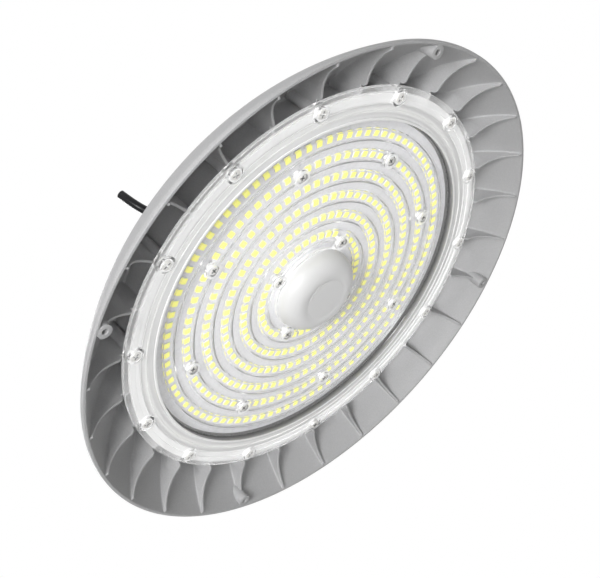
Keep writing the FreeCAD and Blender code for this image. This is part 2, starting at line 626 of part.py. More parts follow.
def driver_housing():
    edge = DRUM_EDGE
    flange_top = DRUM_BASE_Z + DRUM_FLANGE_HEIGHT
    outer = cylinder(DRUM_RADIUS, DRUM_BASE_Z, DRUM_TOP_Z)
    rim_edges = [e for e in outer.Edges if abs(e.BoundBox.ZMin - DRUM_TOP_Z) < 1e-6 and len(e.Vertexes) == 1]
    outer = outer.makeFillet(edge, rim_edges)
    rib_inside = DRUM_INNER_RADIUS - DRUM_RIB_PROUD
    rib_outside = DRUM_RADIUS + DRUM_RIB_PROUD
    corners = [
        section_point(rib_inside, DRUM_BASE_Z),
        section_point(rib_outside, DRUM_BASE_Z),
        section_point(rib_outside, DRUM_TOP_Z - 2 * edge),
        section_point(rib_inside, DRUM_TOP_Z - edge / 2),
    ]
    rib = slab([line(a, b) for a, b in zip(corners, corners[1:] + corners[:1])], DRUM_RIB_THICKNESS)
    rib_angles = circle_angles(DRUM_RIB_COUNT, 180.0 / DRUM_RIB_COUNT)
    flange = cylinder(DRUM_FLANGE_RADIUS, DRUM_BASE_Z, flange_top)
    lobe = cylinder(DRUM_BOSS_RADIUS, DRUM_BASE_Z, flange_top, COLLAR_RADIUS)
    top_boss = cylinder(TOP_BOSS_RADIUS, DRUM_TOP_Z - DRUM_WALL, TOP_BOSS_Z)
    boss_start = DRUM_INNER_RADIUS - GLAND_BOSS_DEPTH
    gland_boss = along_y(cylinder(GLAND_BOSS_RADIUS, boss_start, GLAND_BOSS_FACE), GLAND_Z)
    added = around(rib, rib_angles) + around(lobe, DRUM_SCREW_ANGLES) + [flange, top_boss, gland_boss]
    body = outer.fuse(added)

    cavity = cylinder(DRUM_INNER_RADIUS, DRUM_BASE_Z, DRUM_INNER_TOP_Z)
    eye_hole = cylinder(EYE_SHANK_RADIUS + SCREW_CLEARANCE, DRUM_INNER_TOP_Z, TOP_BOSS_Z)
    vent_hole = cylinder(VENT_STEM_RADIUS + SCREW_CLEARANCE, DRUM_INNER_TOP_Z, DRUM_TOP_Z, VENT_PLACE)
    gland_hole = along_y(cylinder(GLAND_STEM_RADIUS + SCREW_CLEARANCE, 0, GLAND_BOSS_FACE), GLAND_Z)
    screw_hole = cylinder(DRUM_SHANK_RADIUS + SCREW_CLEARANCE, DRUM_BASE_Z, flange_top, COLLAR_RADIUS)
    head_room = cylinder(DRUM_HEAD_RADIUS + HEAD_CLEARANCE, flange_top, DRUM_TOP_Z, COLLAR_RADIUS)
    cuts = [cavity, eye_hole, vent_hole, gland_hole]
    cuts += around(screw_hole, DRUM_SCREW_ANGLES) + around(head_room, DRUM_SCREW_ANGLES)
    return body.cut(cuts).removeSplitter()


def drum_screws():
    flange_top = DRUM_BASE_Z + DRUM_FLANGE_HEIGHT
    head = cylinder(DRUM_HEAD_RADIUS, flange_top, flange_top + DRUM_HEAD_HEIGHT, COLLAR_RADIUS)
    shank = cylinder(DRUM_SHANK_RADIUS, COLLAR_TOP_Z - DRUM_SCREW_GRIP, flange_top, COLLAR_RADIUS)
    return Part.makeCompound(around(head.fuse(shank).removeSplitter(), DRUM_SCREW_ANGLES))


# ---------------------------------------------------------------- driver electronics
def standoffs():
    x = DRIVER_BOARD[0] / 2 - STANDOFF_INSET
    y = DRIVER_BOARD[1] / 2 - STANDOFF_INSET
    places = [(sx * x, sy * y) for sx in (-1, 1) for sy in (-1, 1)]
    posts = [cylinder(STANDOFF_RADIUS, BASE_PLATE_TOP_Z, DRIVER_BOARD_Z, px, py) for px, py in places]
    return Part.makeCompound(posts)


def driver_electronics():
    board = block(DRIVER_BOARD, 0, 0, DRIVER_BOARD_Z)
    top = DRIVER_BOARD_TOP_Z
    transformer = block(TRANSFORMER, *TRANSFORMER_PLACE, top)
    capacitors = Part.makeCompound(
        [cylinder(CAPACITOR_RADIUS, top, top + CAPACITOR_HEIGHT, *place) for place in CAPACITOR_PLACES]
    )
    choke = cylinder(CHOKE_RADIUS, top, top + CHOKE_HEIGHT, *CHOKE_PLACE)
    terminal = block(TERMINAL, 0, DRIVER_BOARD[1] / 2 - TERMINAL[1] / 2, top)
    return board, transformer, capacitors, choke, terminal


# ---------------------------------------------------------------- eye bolt and vent
def eye_bolt_parts():
    washer_top = TOP_BOSS_Z + EYE_WASHER_THICKNESS
    nut_top = washer_top + EYE_NUT_HEIGHT
    collar_top = nut_top + EYE_COLLAR_HEIGHT
    eye_z = collar_top + EYE_RING_RADIUS
    shank_low = DRUM_INNER_TOP_Z - EYE_INNER_NUT_HEIGHT - EYE_SHANK_END
    eye = Part.makeTorus(EYE_RING_RADIUS, EYE_BAR_RADIUS, FreeCAD.Vector(0, 0, eye_z), OUT_Y)
    collar = Part.makeCone(EYE_COLLAR_RADIUS, EYE_BAR_RADIUS, EYE_COLLAR_HEIGHT, FreeCAD.Vector(0, 0, nut_top))
    bolt = eye.fuse([collar, cylinder(EYE_SHANK_RADIUS, shank_low, nut_top)]).removeSplitter()
    bore = cylinder(EYE_SHANK_RADIUS + SCREW_CLEARANCE, shank_low, nut_top)
    washer = cylinder(EYE_WASHER_RADIUS, TOP_BOSS_Z, washer_top).cut(bore)
    nut = hexagon(EYE_NUT_FLATS, washer_top, nut_top).cut(bore)
    inner_nut = hexagon(EYE_NUT_FLATS, DRUM_INNER_TOP_Z - EYE_INNER_NUT_HEIGHT, DRUM_INNER_TOP_Z).cut(bore)
    return bolt, washer, nut, inner_nut


def vent_plug():
    stem = cylinder(VENT_STEM_RADIUS, DRUM_INNER_TOP_Z - VENT_STEM_END, DRUM_TOP_Z, VENT_PLACE)
    head = hexagon(VENT_FLATS, DRUM_TOP_Z, DRUM_TOP_Z + VENT_HEX_HEIGHT, VENT_PLACE)
    cap = cylinder(VENT_CAP_RADIUS, DRUM_TOP_Z, DRUM_TOP_Z + VENT_CAP_HEIGHT, VENT_PLACE)
    return stem.fuse([head, cap]).removeSplitter()


# ---------------------------------------------------------------- gland and cable
def gland_parts():
    stem_low = GLAND_STEM_START
    seal_radius = GLAND_NOSE_RADIUS - GLAND_WALL / 2
    bore = cylinder(seal_radius, stem_low, GLAND_FACE)
    stem = cylinder(GLAND_STEM_RADIUS, stem_low, GLAND_BOSS_FACE)
    body = stem.fuse(hexagon(GLAND_FLATS, GLAND_BOSS_FACE, GLAND_NUT_START)).cut(bore)
    nose_start = GLAND_NUT_START + GLAND_NUT_LENGTH / 2
    nose = Part.makeCone(
        GLAND_FLATS / 2, GLAND_NOSE_RADIUS, GLAND_FACE - nose_start, FreeCAD.Vector(0, 0, nose_start)
    )
    nut = cylinder(GLAND_FLATS / 2, GLAND_NUT_START, nose_start).fuse(nose).cut(bore)
    seal_bore = cylinder(CABLE_RADIUS + SEAL_CLEARANCE, stem_low, GLAND_FACE)
    seal = cylinder(seal_radius, GLAND_BOSS_FACE, GLAND_FACE - SEAL_SETBACK).cut(seal_bore)
    stem_bore = cylinder(GLAND_STEM_RADIUS + SCREW_CLEARANCE, stem_low, DRUM_INNER_RADIUS)
    lock_nut = hexagon(GLAND_FLATS, stem_low, stem_low + LOCK_NUT_LENGTH).cut(stem_bore)
    return [along_y(piece, GLAND_Z) for piece in (body, nut, seal, lock_nut)]


def cable_tail():
    """The cable inside the gland and the drum, up to where its free route starts."""
    return along_y(cylinder(CABLE_RADIUS, DRUM_INNER_RADIUS - CABLE_TAIL, CABLE_ROUTE[0][1]), GLAND_Z)


def rounded_route(points):
    """Straight runs joined by tangent arcs, as large as the two runs of each corner allow."""
    corners = [FreeCAD.Vector(*p) for p in points]
    edges = []
    here = corners[0]
    for before, corner, after in zip(corners, corners[1:], corners[2:]):
        reach = 0.45 * min((corner - before).Length, (after - corner).Length)
        back = (before - corner).normalize()
        ahead = (after - corner).normalize()
        half_turn = (math.pi - back.getAngle(ahead)) / 2
        radius = reach / math.tan(half_turn)
        print("cable arc radius %.1f mm, turn %.1f degrees" % (radius, math.degrees(2 * half_turn)))
        start = corner + back * reach
        end = corner + ahead * reach
        inward = (back + ahead).normalize()
        middle = corner + inward * (radius / math.cos(half_turn) - radius)
        edges += [line(here, start), arc(start, middle, end)]
        here = end
    edges.append(line(here, corners[-1]))
    return Part.Wire(edges)


def mains_cable():
    route = rounded_route(CABLE_ROUTE)
    start = FreeCAD.Vector(*CABLE_ROUTE[0])
    direction = FreeCAD.Vector(*CABLE_ROUTE[1]) - start
    section = Part.Wire(Part.makeCircle(CABLE_RADIUS, start, direction))
    tube = route.makePipeShell([section], True, False)
    expected = math.pi * CABLE_RADIUS**2 * route.Length
    print("cable length %.1f mm, volume ratio %.4f" % (route.Length, tube.Volume / expected))
    return tube


# ---------------------------------------------------------------- all pieces
def main():
    os.makedirs("parts", exist_ok=True)
    save("heat_sink", heat_sink())
    save("lens", lens())
    save("lens_gasket", lens_gasket())
    save("lens_flange_screws", flange_screws())
    save("lens_inner_screws", inner_screws(INNER_SCREW_CIRCLE, INNER_SCREW_ANGLES))
    save("lens_centre_screws", inner_screws(CENTRE_SCREW_CIRCLE, CENTRE_SCREW_ANGLES))
    save("led_board", led_board())
    screw_places = {1: INNER_SCREW_ANGLES, len(LED_RING_RADII) - 1: CENTRE_SCREW_ANGLES}
    for index, (radius, count) in enumerate(zip(LED_RING_RADII, LED_RING_COUNTS)):
        save("led_ring_%d" % (index + 1), led_ring(radius, count, screw_places.get(index, [])))
    save("led_leads", led_leads())
    save("sensor_dome", sensor_dome())
    for name, piece in zip(("sensor_socket", "sensor_board", "sensor_can"), sensor_parts()):
        save(name, piece)
    save("driver_base_plate", base_plate())
    save("driver_gasket", drum_gasket())
    save("driver_housing", driver_housing())
    save("driver_screws", drum_screws())
    save("driver_standoffs", standoffs())
    names = ("driver_board", "transformer", "capacitors", "choke", "mains_terminal")
    for name, piece in zip(names, driver_electronics()):
        save(name, piece)
    for name, piece in zip(("eye_bolt", "eye_washer", "eye_lock_nut", "eye_inner_nut"), eye_bolt_parts()):
        save(name, piece)
    save("vent_plug", vent_plug())
    for name, piece in zip(("gland_body", "gland_nut", "gland_seal", "gland_lock_nut"), gland_parts()):
        save(name, piece)
    save("cable_tail", cable_tail())
    save("mains_cable", mains_cable())


main()
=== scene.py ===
"""Dresses the CAD parts of a high bay light: casting, ring lens, LEDs, driver, eye bolt and cable."""

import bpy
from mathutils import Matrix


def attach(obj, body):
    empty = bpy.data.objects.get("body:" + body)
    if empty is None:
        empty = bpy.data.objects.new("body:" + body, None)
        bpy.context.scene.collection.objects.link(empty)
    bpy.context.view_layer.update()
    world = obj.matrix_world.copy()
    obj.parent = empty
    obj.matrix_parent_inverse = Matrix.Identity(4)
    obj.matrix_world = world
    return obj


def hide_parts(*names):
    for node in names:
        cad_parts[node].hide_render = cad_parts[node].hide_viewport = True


bl_info = {
    "name": "High bay light",
    "version": (1, 0, 0),
    "blender": (4, 5, 0),
    "location": "View3D > Sidebar > High Bay",
    "description": "Builds the visible pieces of a finned LED high bay light around its CAD parts",
    "category": "Add Mesh",
}

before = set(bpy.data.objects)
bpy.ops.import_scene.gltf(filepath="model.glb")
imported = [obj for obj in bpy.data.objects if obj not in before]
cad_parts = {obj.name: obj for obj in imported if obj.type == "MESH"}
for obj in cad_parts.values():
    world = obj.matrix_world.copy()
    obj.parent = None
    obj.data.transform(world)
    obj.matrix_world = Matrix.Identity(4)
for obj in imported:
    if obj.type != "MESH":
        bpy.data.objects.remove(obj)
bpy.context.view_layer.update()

import math

import bmesh
import bpy
from bpy.props import FloatProperty, FloatVectorProperty, IntProperty, PointerProperty
from mathutils import Matrix, Vector

MM = 0.001
WHITE = (1, 1, 1)
FULL_TURN = 2 * math.pi
FIN_COUNT = 28
TURN_STEPS = 12 * FIN_COUNT   # a whole number of steps between two fins
SMALL_STEPS = 48              # for bosses, wells and pads
CREASE = 32.0                 # edges sharper than this stay sharp, in degrees


# ---------------------------------------------------------------- sizes and colours
def size_property(name, default, text):
    return FloatProperty(name=name, default=default, min=0.0, unit="LENGTH", description=text)


def colour_property(name, default, text):
    return FloatVectorProperty(
        name=name, default=default, subtype="COLOR", size=3, min=0.0, max=1.0, description=text
    )


class CastingSettings(bpy.types.PropertyGroup):
    fin_count: IntProperty(
        name="Fins", default=FIN_COUNT, min=4, description="Fins between the hub and the bowl"
    )
    fin_front: size_property("Fin front", 0.0016, "Thickness of a fin at its front edge")
    fin_root: size_property("Fin root", 0.0019, "Thickness of a fin where it meets the bowl")
    fillet: size_property("Fillet", 0.0011, "Rounding between a fin and the bowl")
    edge: size_property("Edge", 0.0003, "Rounding of the fins' edges")
    colour: colour_property("Paint", (0.40, 0.40, 0.405), "Powder coat of the heat sink")


class LensSettings(bpy.types.PropertyGroup):
    colour: colour_property("Lens", (1.0, 1.0, 1.0), "Clear moulding of the lens")
    dome: colour_property("Dome", (0.56, 0.56, 0.56), "Frosted sensor dome")
    screw: colour_property("Screws", (0.80, 0.79, 0.77), "Nickel plate of the lens screws")


class LampSettings(bpy.types.PropertyGroup):
    board: colour_property("Board", (0.63, 0.63, 0.66), "White mask of the LED board")
    window: colour_property("Phosphor", (0.95, 0.92, 0.11), "Phosphor of the LEDs")
    # painted light: the board is no lamp, and this glow lightens its mask
    board_painted_glow: FloatProperty(
        name="Board glow", default=0.02, min=0.0, description="Light that the board gives"
    )
    glow: FloatProperty(name="LED glow", default=0.22, min=0.0, description="Light that the LEDs give")


class DriverSettings(bpy.types.PropertyGroup):
    colour: colour_property("Housing", (0.40, 0.40, 0.405), "Powder coat of the driver housing")
    steel: colour_property("Zinc", (0.62, 0.62, 0.60), "Zinc-plated eye bolt and nuts")
    plastic: colour_property("Gland", (0.020, 0.020, 0.021), "Plastic of the gland and the vent plug")


class CableSettings(bpy.types.PropertyGroup):
    radius: size_property("Radius", 0.0026, "Radius of the cable's sheath")
    colour: colour_property("Sheath", (0.005, 0.005, 0.006), "Rubber sheath of the cable")


class StageSettings(bpy.types.PropertyGroup):
    floor_colour: colour_property("Floor", (0.80, 0.80, 0.79), "Plain floor")
    floor_drop: size_property("Floor drop", 0.70, "Depth of the floor below the rim")
    key_power: FloatProperty(
        name="Key", default=15.0, min=0.0, unit="POWER", description="Lamp on the lens side"
    )
    back_power: FloatProperty(name="Back", default=5.3, min=0.0, unit="POWER", description="Lamp on the back")
    rear_power: FloatProperty(
        name="Rear", default=11.0, min=0.0, unit="POWER", description="Lamp on the far side"
    )
    fill_power: FloatProperty(name="Fill", default=0.3, min=0.0, unit="POWER", description="Soft lamp below")
    world_level: FloatProperty(
        name="World", default=0.06, min=0.0, description="Level of the light from all round"
    )
    lens_length: FloatProperty(name="Camera lens", default=59.42, min=10.0, description="Focal length in mm")


SETTINGS = {
    "highbay_casting": CastingSettings,
    "highbay_lens": LensSettings,
    "highbay_lamps": LampSettings,
    "highbay_driver": DriverSettings,
    "highbay_cable": CableSettings,
    "highbay_stage": StageSettings,
}


# ---------------------------------------------------------------- sections and solids, in millimetres
def arc_points(a, middle, b, steps):
    """Points on the arc from a through middle to b."""
    (ax, az), (mx, mz), (bx, bz) = a, middle, b
    scale = 2 * (ax * (mz - bz) + mx * (bz - az) + bx * (az - mz))
    aa, mm, bb = ax * ax + az * az, mx * mx + mz * mz, bx * bx + bz * bz
    cx = (aa * (mz - bz) + mm * (bz - az) + bb * (az - mz)) / scale
    cz = (aa * (bx - mx) + mm * (ax - bx) + bb * (mx - ax)) / scale
    radius = math.hypot(ax - cx, az - cz)
    start = math.atan2(az - cz, ax - cx)
    half = math.remainder(math.atan2(mz - cz, mx - cx) - start, FULL_TURN)
    angles = [start + 2 * half * k / steps for k in range(steps + 1)]
    return [(cx + radius * math.cos(t), cz + radius * math.sin(t)) for t in angles]


def rounded(corners, steps=3):
    """A closed section whose corners are (radius, height) or (radius, height, rounding)."""
    points = []
    count = len(corners)
    for index, corner in enumerate(corners):
        here = Vector(corner[:2])
        if len(corner) == 2:
            points.append(tuple(here))
            continue
        back = Vector(corners[index - 1][:2]) - here
        ahead = Vector(corners[(index + 1) % count][:2]) - here
        reach = corner[2] / math.tan(back.angle(ahead) / 2)
        start = here + back.normalized() * reach
        end = here + ahead.normalized() * reach
        for k in range(steps + 1):
            t = k / steps
            points.append(tuple(start * (1 - t) ** 2 + here * (2 * t * (1 - t)) + end * t * t))
    return points


def polar(r, turn, z):
    """A point in metres, from millimetres and an angle about the Z axis."""
    return (r * math.cos(turn) * MM, r * math.sin(turn) * MM, z * MM)


def add_turned(bm, section, steps=TURN_STEPS, matrix=None, closed=True):
    """Turn a section about the Z axis. A point on the axis is one vertex."""
    columns = []
    middles = {}
    for k in range(steps):
        turn = k * FULL_TURN / steps
        column = []
        for index, (r, z) in enumerate(section):
            if r > 1e-6:
                column.append(bm.verts.new(polar(r, turn, z)))
                continue
            if index not in middles:
                middles[index] = bm.verts.new((0, 0, z * MM))
            column.append(middles[index])
        columns.append(column)
    count = len(section)
    faces = []
    for k in range(steps):
        one, two = columns[k], columns[(k + 1) % steps]
        for i in range(count if closed else count - 1):
            j = (i + 1) % count
            corners = list(dict.fromkeys((one[i], one[j], two[j], two[i])))
            if len(corners) > 2:
                faces.append(bm.faces.new(corners))
    if matrix is not None:
        verts = list(dict.fromkeys(v for column in columns for v in column))
        bmesh.ops.transform(bm, matrix=matrix, verts=verts)
    return faces


def bridge(bm, rings, closed=False):
    """Faces between each ring of vertices and the next."""
    for lower, upper in zip(rings, rings[1:] + rings[:1] if closed else rings[1:]):
        for k in range(len(lower)):
            j = (k + 1) % len(lower)
            bm.faces.new((lower[k], lower[j], upper[j], upper[k]))


def add_prism(bm, outline, low, high, bevel=0.0, matrix=None):
    """Extrude an outline of (x, y) points from low to high, with its top and bottom edges bevelled."""
    rings = []
    centre = Vector((sum(p[0] for p in outline), sum(p[1] for p in outline))) / len(outline)
    levels = [
        (low, bevel), (low + bevel, 0.0), (high - bevel, 0.0), (high, bevel)
    ] if bevel else [(low, 0), (high, 0)]
    for z, inset in levels:
        ring = []
        for x, y in outline:
            arm = Vector((x, y)) - centre
            spot = centre + arm * (1 - inset / max(arm.length, 1e-9))
            ring.append(bm.verts.new((spot.x * MM, spot.y * MM, z * MM)))
        rings.append(ring)
    bridge(bm, rings)
    bm.faces.new(rings[0][::-1])
    bm.faces.new(rings[-1])
    if matrix is not None:
        bmesh.ops.transform(bm, matrix=matrix, verts=[v for ring in rings for v in ring])


def spin(degrees):
    return Matrix.Rotation(math.radians(degrees), 4, "Z")


def shift(x=0.0, y=0.0, z=0.0):
    return Matrix.Translation((x * MM, y * MM, z * MM))


def repeat(bm, angles):
    """Keep one copy of all that is in the mesh at each angle about the Z axis."""
    first = list(bm.verts) + list(bm.edges) + list(bm.faces)
    for angle in angles[1:]:
        copy = bmesh.ops.duplicate(bm, geom=first)["geom"]
        verts = [g for g in copy if isinstance(g, bmesh.types.BMVert)]
        bmesh.ops.rotate(bm, verts=verts, matrix=Matrix.Rotation(math.radians(angle - angles[0]), 3, "Z"))
    bmesh.ops.rotate(bm, verts=list(bm.verts), matrix=Matrix.Rotation(math.radians(angles[0]), 3, "Z"))


def circle_angles(count, first=0.0):
    return [first + k * 360.0 / count for k in range(count)]


def turned(section, steps=TURN_STEPS, matrix=None, closed=True):
    """A mesh with one turned section."""
    bm = bmesh.new()
    add_turned(bm, section, steps, matrix, closed)
    return bm


def turned_copies(section, circle, angles, steps=SMALL_STEPS, closed=False):
    """A section turned about its own axis on this circle, once at each angle."""
    bm = turned(section, steps, shift(circle), closed)
    repeat(bm, angles)
    return bm


def join(bm, other):
    """Add another mesh's geometry to this one."""
    mesh = bpy.data.meshes.new("joining")
    other.to_mesh(mesh)
    other.free()
    bm.from_mesh(mesh)
    bpy.data.meshes.remove(mesh)


def as_object(name, bm):
    """Put a mesh into the scene as an object, with its faces outward."""
    bmesh.ops.recalc_face_normals(bm, faces=list(bm.faces))
    mesh = bpy.data.meshes.new(name)
    bm.to_mesh(mesh)
    bm.free()
    made = bpy.data.objects.new(name, mesh)
    bpy.context.scene.collection.objects.link(made)
    return made


def piece(name, bm, material, slot, *nodes, crease=CREASE):
    """Make the mesh a piece that rides on the light and stands for these CAD nodes."""
    made = as_object(name, bm)
    made.data.shade_smooth()
    made.data.set_sharp_from_angle(angle=math.radians(crease))
    made.data.materials.append(material)
    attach(made, "root")
    if nodes:
        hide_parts(*nodes)
    return made


def carve(made, cutter_bm, operation):
    """Join the cutter's solids to a piece, or cut them out of it, and keep the result as its mesh."""
    cutter = as_object("cutter", cutter_bm)
    mesh = cutter.data
    step = made.modifiers.new("carve", "BOOLEAN")
    step.operation = operation
    step.solver = "EXACT"
    step.use_self = True
    step.object = cutter
    view = bpy.context.evaluated_depsgraph_get()
    result = bpy.data.meshes.new_from_object(made.evaluated_get(view), depsgraph=view)
    made.modifiers.clear()
    old = made.data
    made.data = result
    bpy.data.meshes.remove(old)
    bpy.data.objects.remove(cutter)
    bpy.data.meshes.remove(mesh)
    result.shade_smooth()
    result.set_sharp_from_angle(angle=math.radians(CREASE))


# ---------------------------------------------------------------- finishes
def add_node(tree, kind, **values):
    """A shader node with these properties, or values on its sockets, where _ stands for a space."""
    node = tree.nodes.new("ShaderNode" + kind)
    for name, value in values.items():
        if hasattr(node, name):
            setattr(node, name, value)
        else:
            node.inputs[name.replace("_", " ")].default_value = value
    return node


def finish(
    name, colour, roughness, metallic=0.0, mottle=0.05, mottle_scale=70.0,
    grain_scale=1400.0, grain_depth=0.00002, rough_spread=0.06, speckle=0.0,
):
    """A surface whose colour and gloss vary gently, with a fine grain."""
    material = bpy.data.materials.new(name)
    material.use_nodes = True
    tree = material.node_tree
    link = tree.links.new
    shader = tree.nodes["Principled BSDF"]
    shader.inputs["Metallic"].default_value = metallic
    place = add_node(tree, "TexCoord")
    cloud = add_node(tree, "TexNoise", Scale=mottle_scale, Detail=4.0)
    link(place.outputs["Object"], cloud.inputs["Vector"])
    blend = add_node(tree, "Mix", data_type="RGBA")
    blend.inputs[6].default_value = [c * (1 - mottle) for c in colour] + [1]
    blend.inputs[7].default_value = [min(1.0, c * (1 + mottle)) for c in colour] + [1]
    link(cloud.outputs["Fac"], blend.inputs[0])
    link(blend.outputs[2], shader.inputs["Base Color"])
    dull = roughness + rough_spread
    gloss = add_node(tree, "MapRange", To_Min=max(0.02, roughness - rough_spread), To_Max=dull)
    link(cloud.outputs["Fac"], gloss.inputs["Value"])
    link(gloss.outputs["Result"], shader.inputs["Roughness"])
    grain = add_node(tree, "TexNoise", Scale=grain_scale, Detail=3.0)
    link(place.outputs["Object"], grain.inputs["Vector"])
    if speckle:
        spots = add_node(tree, "Mix", data_type="RGBA", blend_type="MULTIPLY")
        limits = {"From_Min": 0.3, "From_Max": 0.7, "To_Min": 1 - speckle, "To_Max": 1 + speckle}
        shades = add_node(tree, "MapRange", **limits)
        spots.inputs[0].default_value = 1.0
        link(grain.outputs["Fac"], shades.inputs["Value"])
        link(blend.outputs[2], spots.inputs[6])
        link(shades.outputs["Result"], spots.inputs[7])
        link(spots.outputs[2], shader.inputs["Base Color"])
    bump = add_node(tree, "Bump", Distance=grain_depth, Strength=1.0)
    link(grain.outputs["Fac"], bump.inputs["Height"])
    link(bump.outputs["Normal"], shader.inputs["Normal"])
    return material


def lamp_glow_or_painted_light(material, colour, level):
    """Let a finish give light of its own: lamp light for the LEDs, painted light for the lens, board and
    dome, which are no lamps.
    """
    shader = material.node_tree.nodes["Principled BSDF"]
    shader.inputs["Emission Color"].default_value = (*colour, 1)
    shader.inputs["Emission Strength"].default_value = level
    return material


def powder_coat(name, colour):
    """Satin powder coat with a fine speckle."""
    return finish(name, colour, 0.50, mottle=0.025, grain_scale=1500.0, grain_depth=0.00003, speckle=0.08)


def object_place(tree):
    """The coordinates of a point on the object, apart."""
    place = add_node(tree, "TexCoord")
    parts = add_node(tree, "SeparateXYZ")
    tree.links.new(place.outputs["Object"], parts.inputs[0])
    return parts


def clear_finish(name, colour, clarity=1.0):
    """Acrylic with a faint flow in its surface. Rays from lamps pass, so that the LEDs behind it are lit."""
    material = finish(
        name, colour, 0.03, mottle=0.0, grain_scale=120.0, grain_depth=0.000002, rough_spread=0.015
    )
    tree = material.node_tree
    link = tree.links.new
    shader = tree.nodes["Principled BSDF"]
    shader.inputs["Transmission Weight"].default_value = clarity
    shader.inputs["IOR"].default_value = 1.49
    passing = add_node(tree, "BsdfTransparent")
    path = add_node(tree, "LightPath")
    mixing = add_node(tree, "MixShader")
    link(path.outputs["Is Shadow Ray"], mixing.inputs[0])
    link(shader.outputs[0], mixing.inputs[1])
    link(passing.outputs[0], mixing.inputs[2])
    link(mixing.outputs[0], tree.nodes["Material Output"].inputs["Surface"])
    return material


PAINTED_SHADE_FRONT, PAINTED_SHADE_BACK = 12.5, 20.4      # heights between which the painted shade on the lens's wall darkens, in millimetres
PAINTED_SHADE_LIGHT = (0.42, 0.42, 0.42)
PAINTED_SHADE_DARK = 0.03                         # share of the light end's colour at the dark end of the painted shade
PAINTED_SHADE_FALL = 3.2


def painted_shade_finish(name):
    """Opaque finish with painted shade: the shade of the pocket behind a clear wall, painted as colour that
    darkens towards the board, with a hard gloss.
    """
    material = finish(name, PAINTED_SHADE_LIGHT, 0.15, mottle=0.04, grain_scale=300.0)
    tree = material.node_tree
    link = tree.links.new
    shader = tree.nodes["Principled BSDF"]
    blend = shader.inputs["Base Color"].links[0].from_node
    parts = object_place(tree)
    limits = {"From_Min": PAINTED_SHADE_FRONT * MM, "From_Max": PAINTED_SHADE_BACK * MM, "To_Min": 1.0, "To_Max": 0.0}
    depth = add_node(tree, "MapRange", **limits)
    link(parts.outputs["Z"], depth.inputs["Value"])
    power = add_node(tree, "Math", operation="POWER")
    power.inputs[1].default_value = PAINTED_SHADE_FALL
    link(depth.outputs["Result"], power.inputs[0])
    # painted shade: the colour is mixed down towards its dark end with height, darkest at the board
    shade = add_node(tree, "Mix", data_type="RGBA")
    shade.inputs[6].default_value = [c * PAINTED_SHADE_DARK for c in PAINTED_SHADE_LIGHT] + [1]
    link(power.outputs[0], shade.inputs[0])
    link(blend.outputs[2], shade.inputs[7])
    link(shade.outputs[2], shader.inputs["Base Color"])
    shader.inputs["IOR"].default_value = 1.8
    return material


def board_finish(name, colour, spokes):
    """White solder mask with faint radial tracks under it."""
    material = finish(name, colour, 0.38, mottle=0.02, mottle_scale=90.0)
    tree = material.node_tree
    link = tree.links.new
    shader = tree.nodes["Principled BSDF"]
    blend = shader.inputs["Base Color"].links[0].from_node
    parts = object_place(tree)
    angle = add_node(tree, "Math", operation="ARCTAN2")
    link(parts.outputs["Y"], angle.inputs[0])
    link(parts.outputs["X"], angle.inputs[1])
    count = add_node(tree, "Math", operation="MULTIPLY")
    count.inputs[1].default_value = spokes
    link(angle.outputs[0], count.inputs[0])
    wave = add_node(tree, "Math", operation="COSINE")
    link(count.outputs[0], wave.inputs[0])
    limits = {"From_Min": 0.80, "From_Max": 0.93, "To_Max": 0.35}
    edge = add_node(tree, "MapRange", interpolation_type="SMOOTHSTEP", **limits)
    link(wave.outputs[0], edge.inputs["Value"])
    tracks = add_node(tree, "Mix", data_type="RGBA")
    tracks.inputs[7].default_value = [c * 0.72 for c in colour] + [1]
    link(edge.outputs["Result"], tracks.inputs[0])
    link(blend.outputs[2], tracks.inputs[6])
    link(tracks.outputs[2], shader.inputs["Base Color"])
    return material


def settings(group):
    return getattr(bpy.context.scene, "highbay_" + group)


# ---------------------------------------------------------------- the casting's section
RIM = 170.0
WALL = 1.8
RIM_LAND = 2.5
BULGE = 4.0
FLOOR = 40.4
FLOOR_BACK = 42.65
HUB = 127.8
SEAT = 15.4
POCKET = 119.5
PLATE = 22.2
PLATE_BACK = 26.2
COLLAR = 60.0
COLLAR_TOP = 48.0
COLLAR_WALL = 4.5
HUB_WALL = 4.0
GROOVE = (121.75, 124.65)      # gasket's groove in the seat, inside and outside
GROOVE_DEPTH = 1.8
FLANGE = 137.9
FIN_INNER = 139.1
FIN_TOP = 12.2
FIN_TIP = 0.4
FIN_CORNER = 2.6               # rounding of a fin beside the lens
FIN_START = FIN_INNER + FIN_CORNER
FIN_END = RIM - WALL - 2.4
OPTIC = 16.4                   # front of the lens between its ring lenses
OPTIC_BACK = 18.2
SPIGOT = 117.0
SCREW_CIRCLE = 131.5
BOSS_CIRCLE = 164.0
RING_RADII = (106.0, 92.38, 78.76, 65.14, 51.52, 37.9)
RING_COUNTS = (90, 80, 70, 60, 50, 40)
INNER_CIRCLE = 92.38
CENTRE_CIRCLE = 34.4
FIN_STEP = 360.0 / FIN_COUNT
FLANGE_SCREWS = circle_angles(14, FIN_STEP)
INNER_SCREWS = circle_angles(8)
CENTRE_SCREWS = circle_angles(4)
HOUSING_SCREWS = circle_angles(6)
INNER_PLACES = ((INNER_CIRCLE, INNER_SCREWS), (CENTRE_CIRCLE, CENTRE_SCREWS))
UPRIGHT = Matrix.Rotation(math.pi / 2, 4, "X")
GLAND_AIM = shift(z=73.5) @ Matrix.Rotation(-math.pi / 2, 4, "X")


def bowl_section(offset, steps=24):
    """Points of the bowl's section from the rim to the hub, this far behind its front."""
    start = Vector((RIM - WALL + offset, RIM_LAND * offset / WALL))
    end = Vector((HUB, FLOOR + (FLOOR_BACK - FLOOR) * offset / WALL))
    chord = (end - start).normalized()
    middle = (start + end) / 2 + Vector((chord.y, -chord.x)) * BULGE
    return arc_points(tuple(start), tuple(middle), tuple(end), steps)


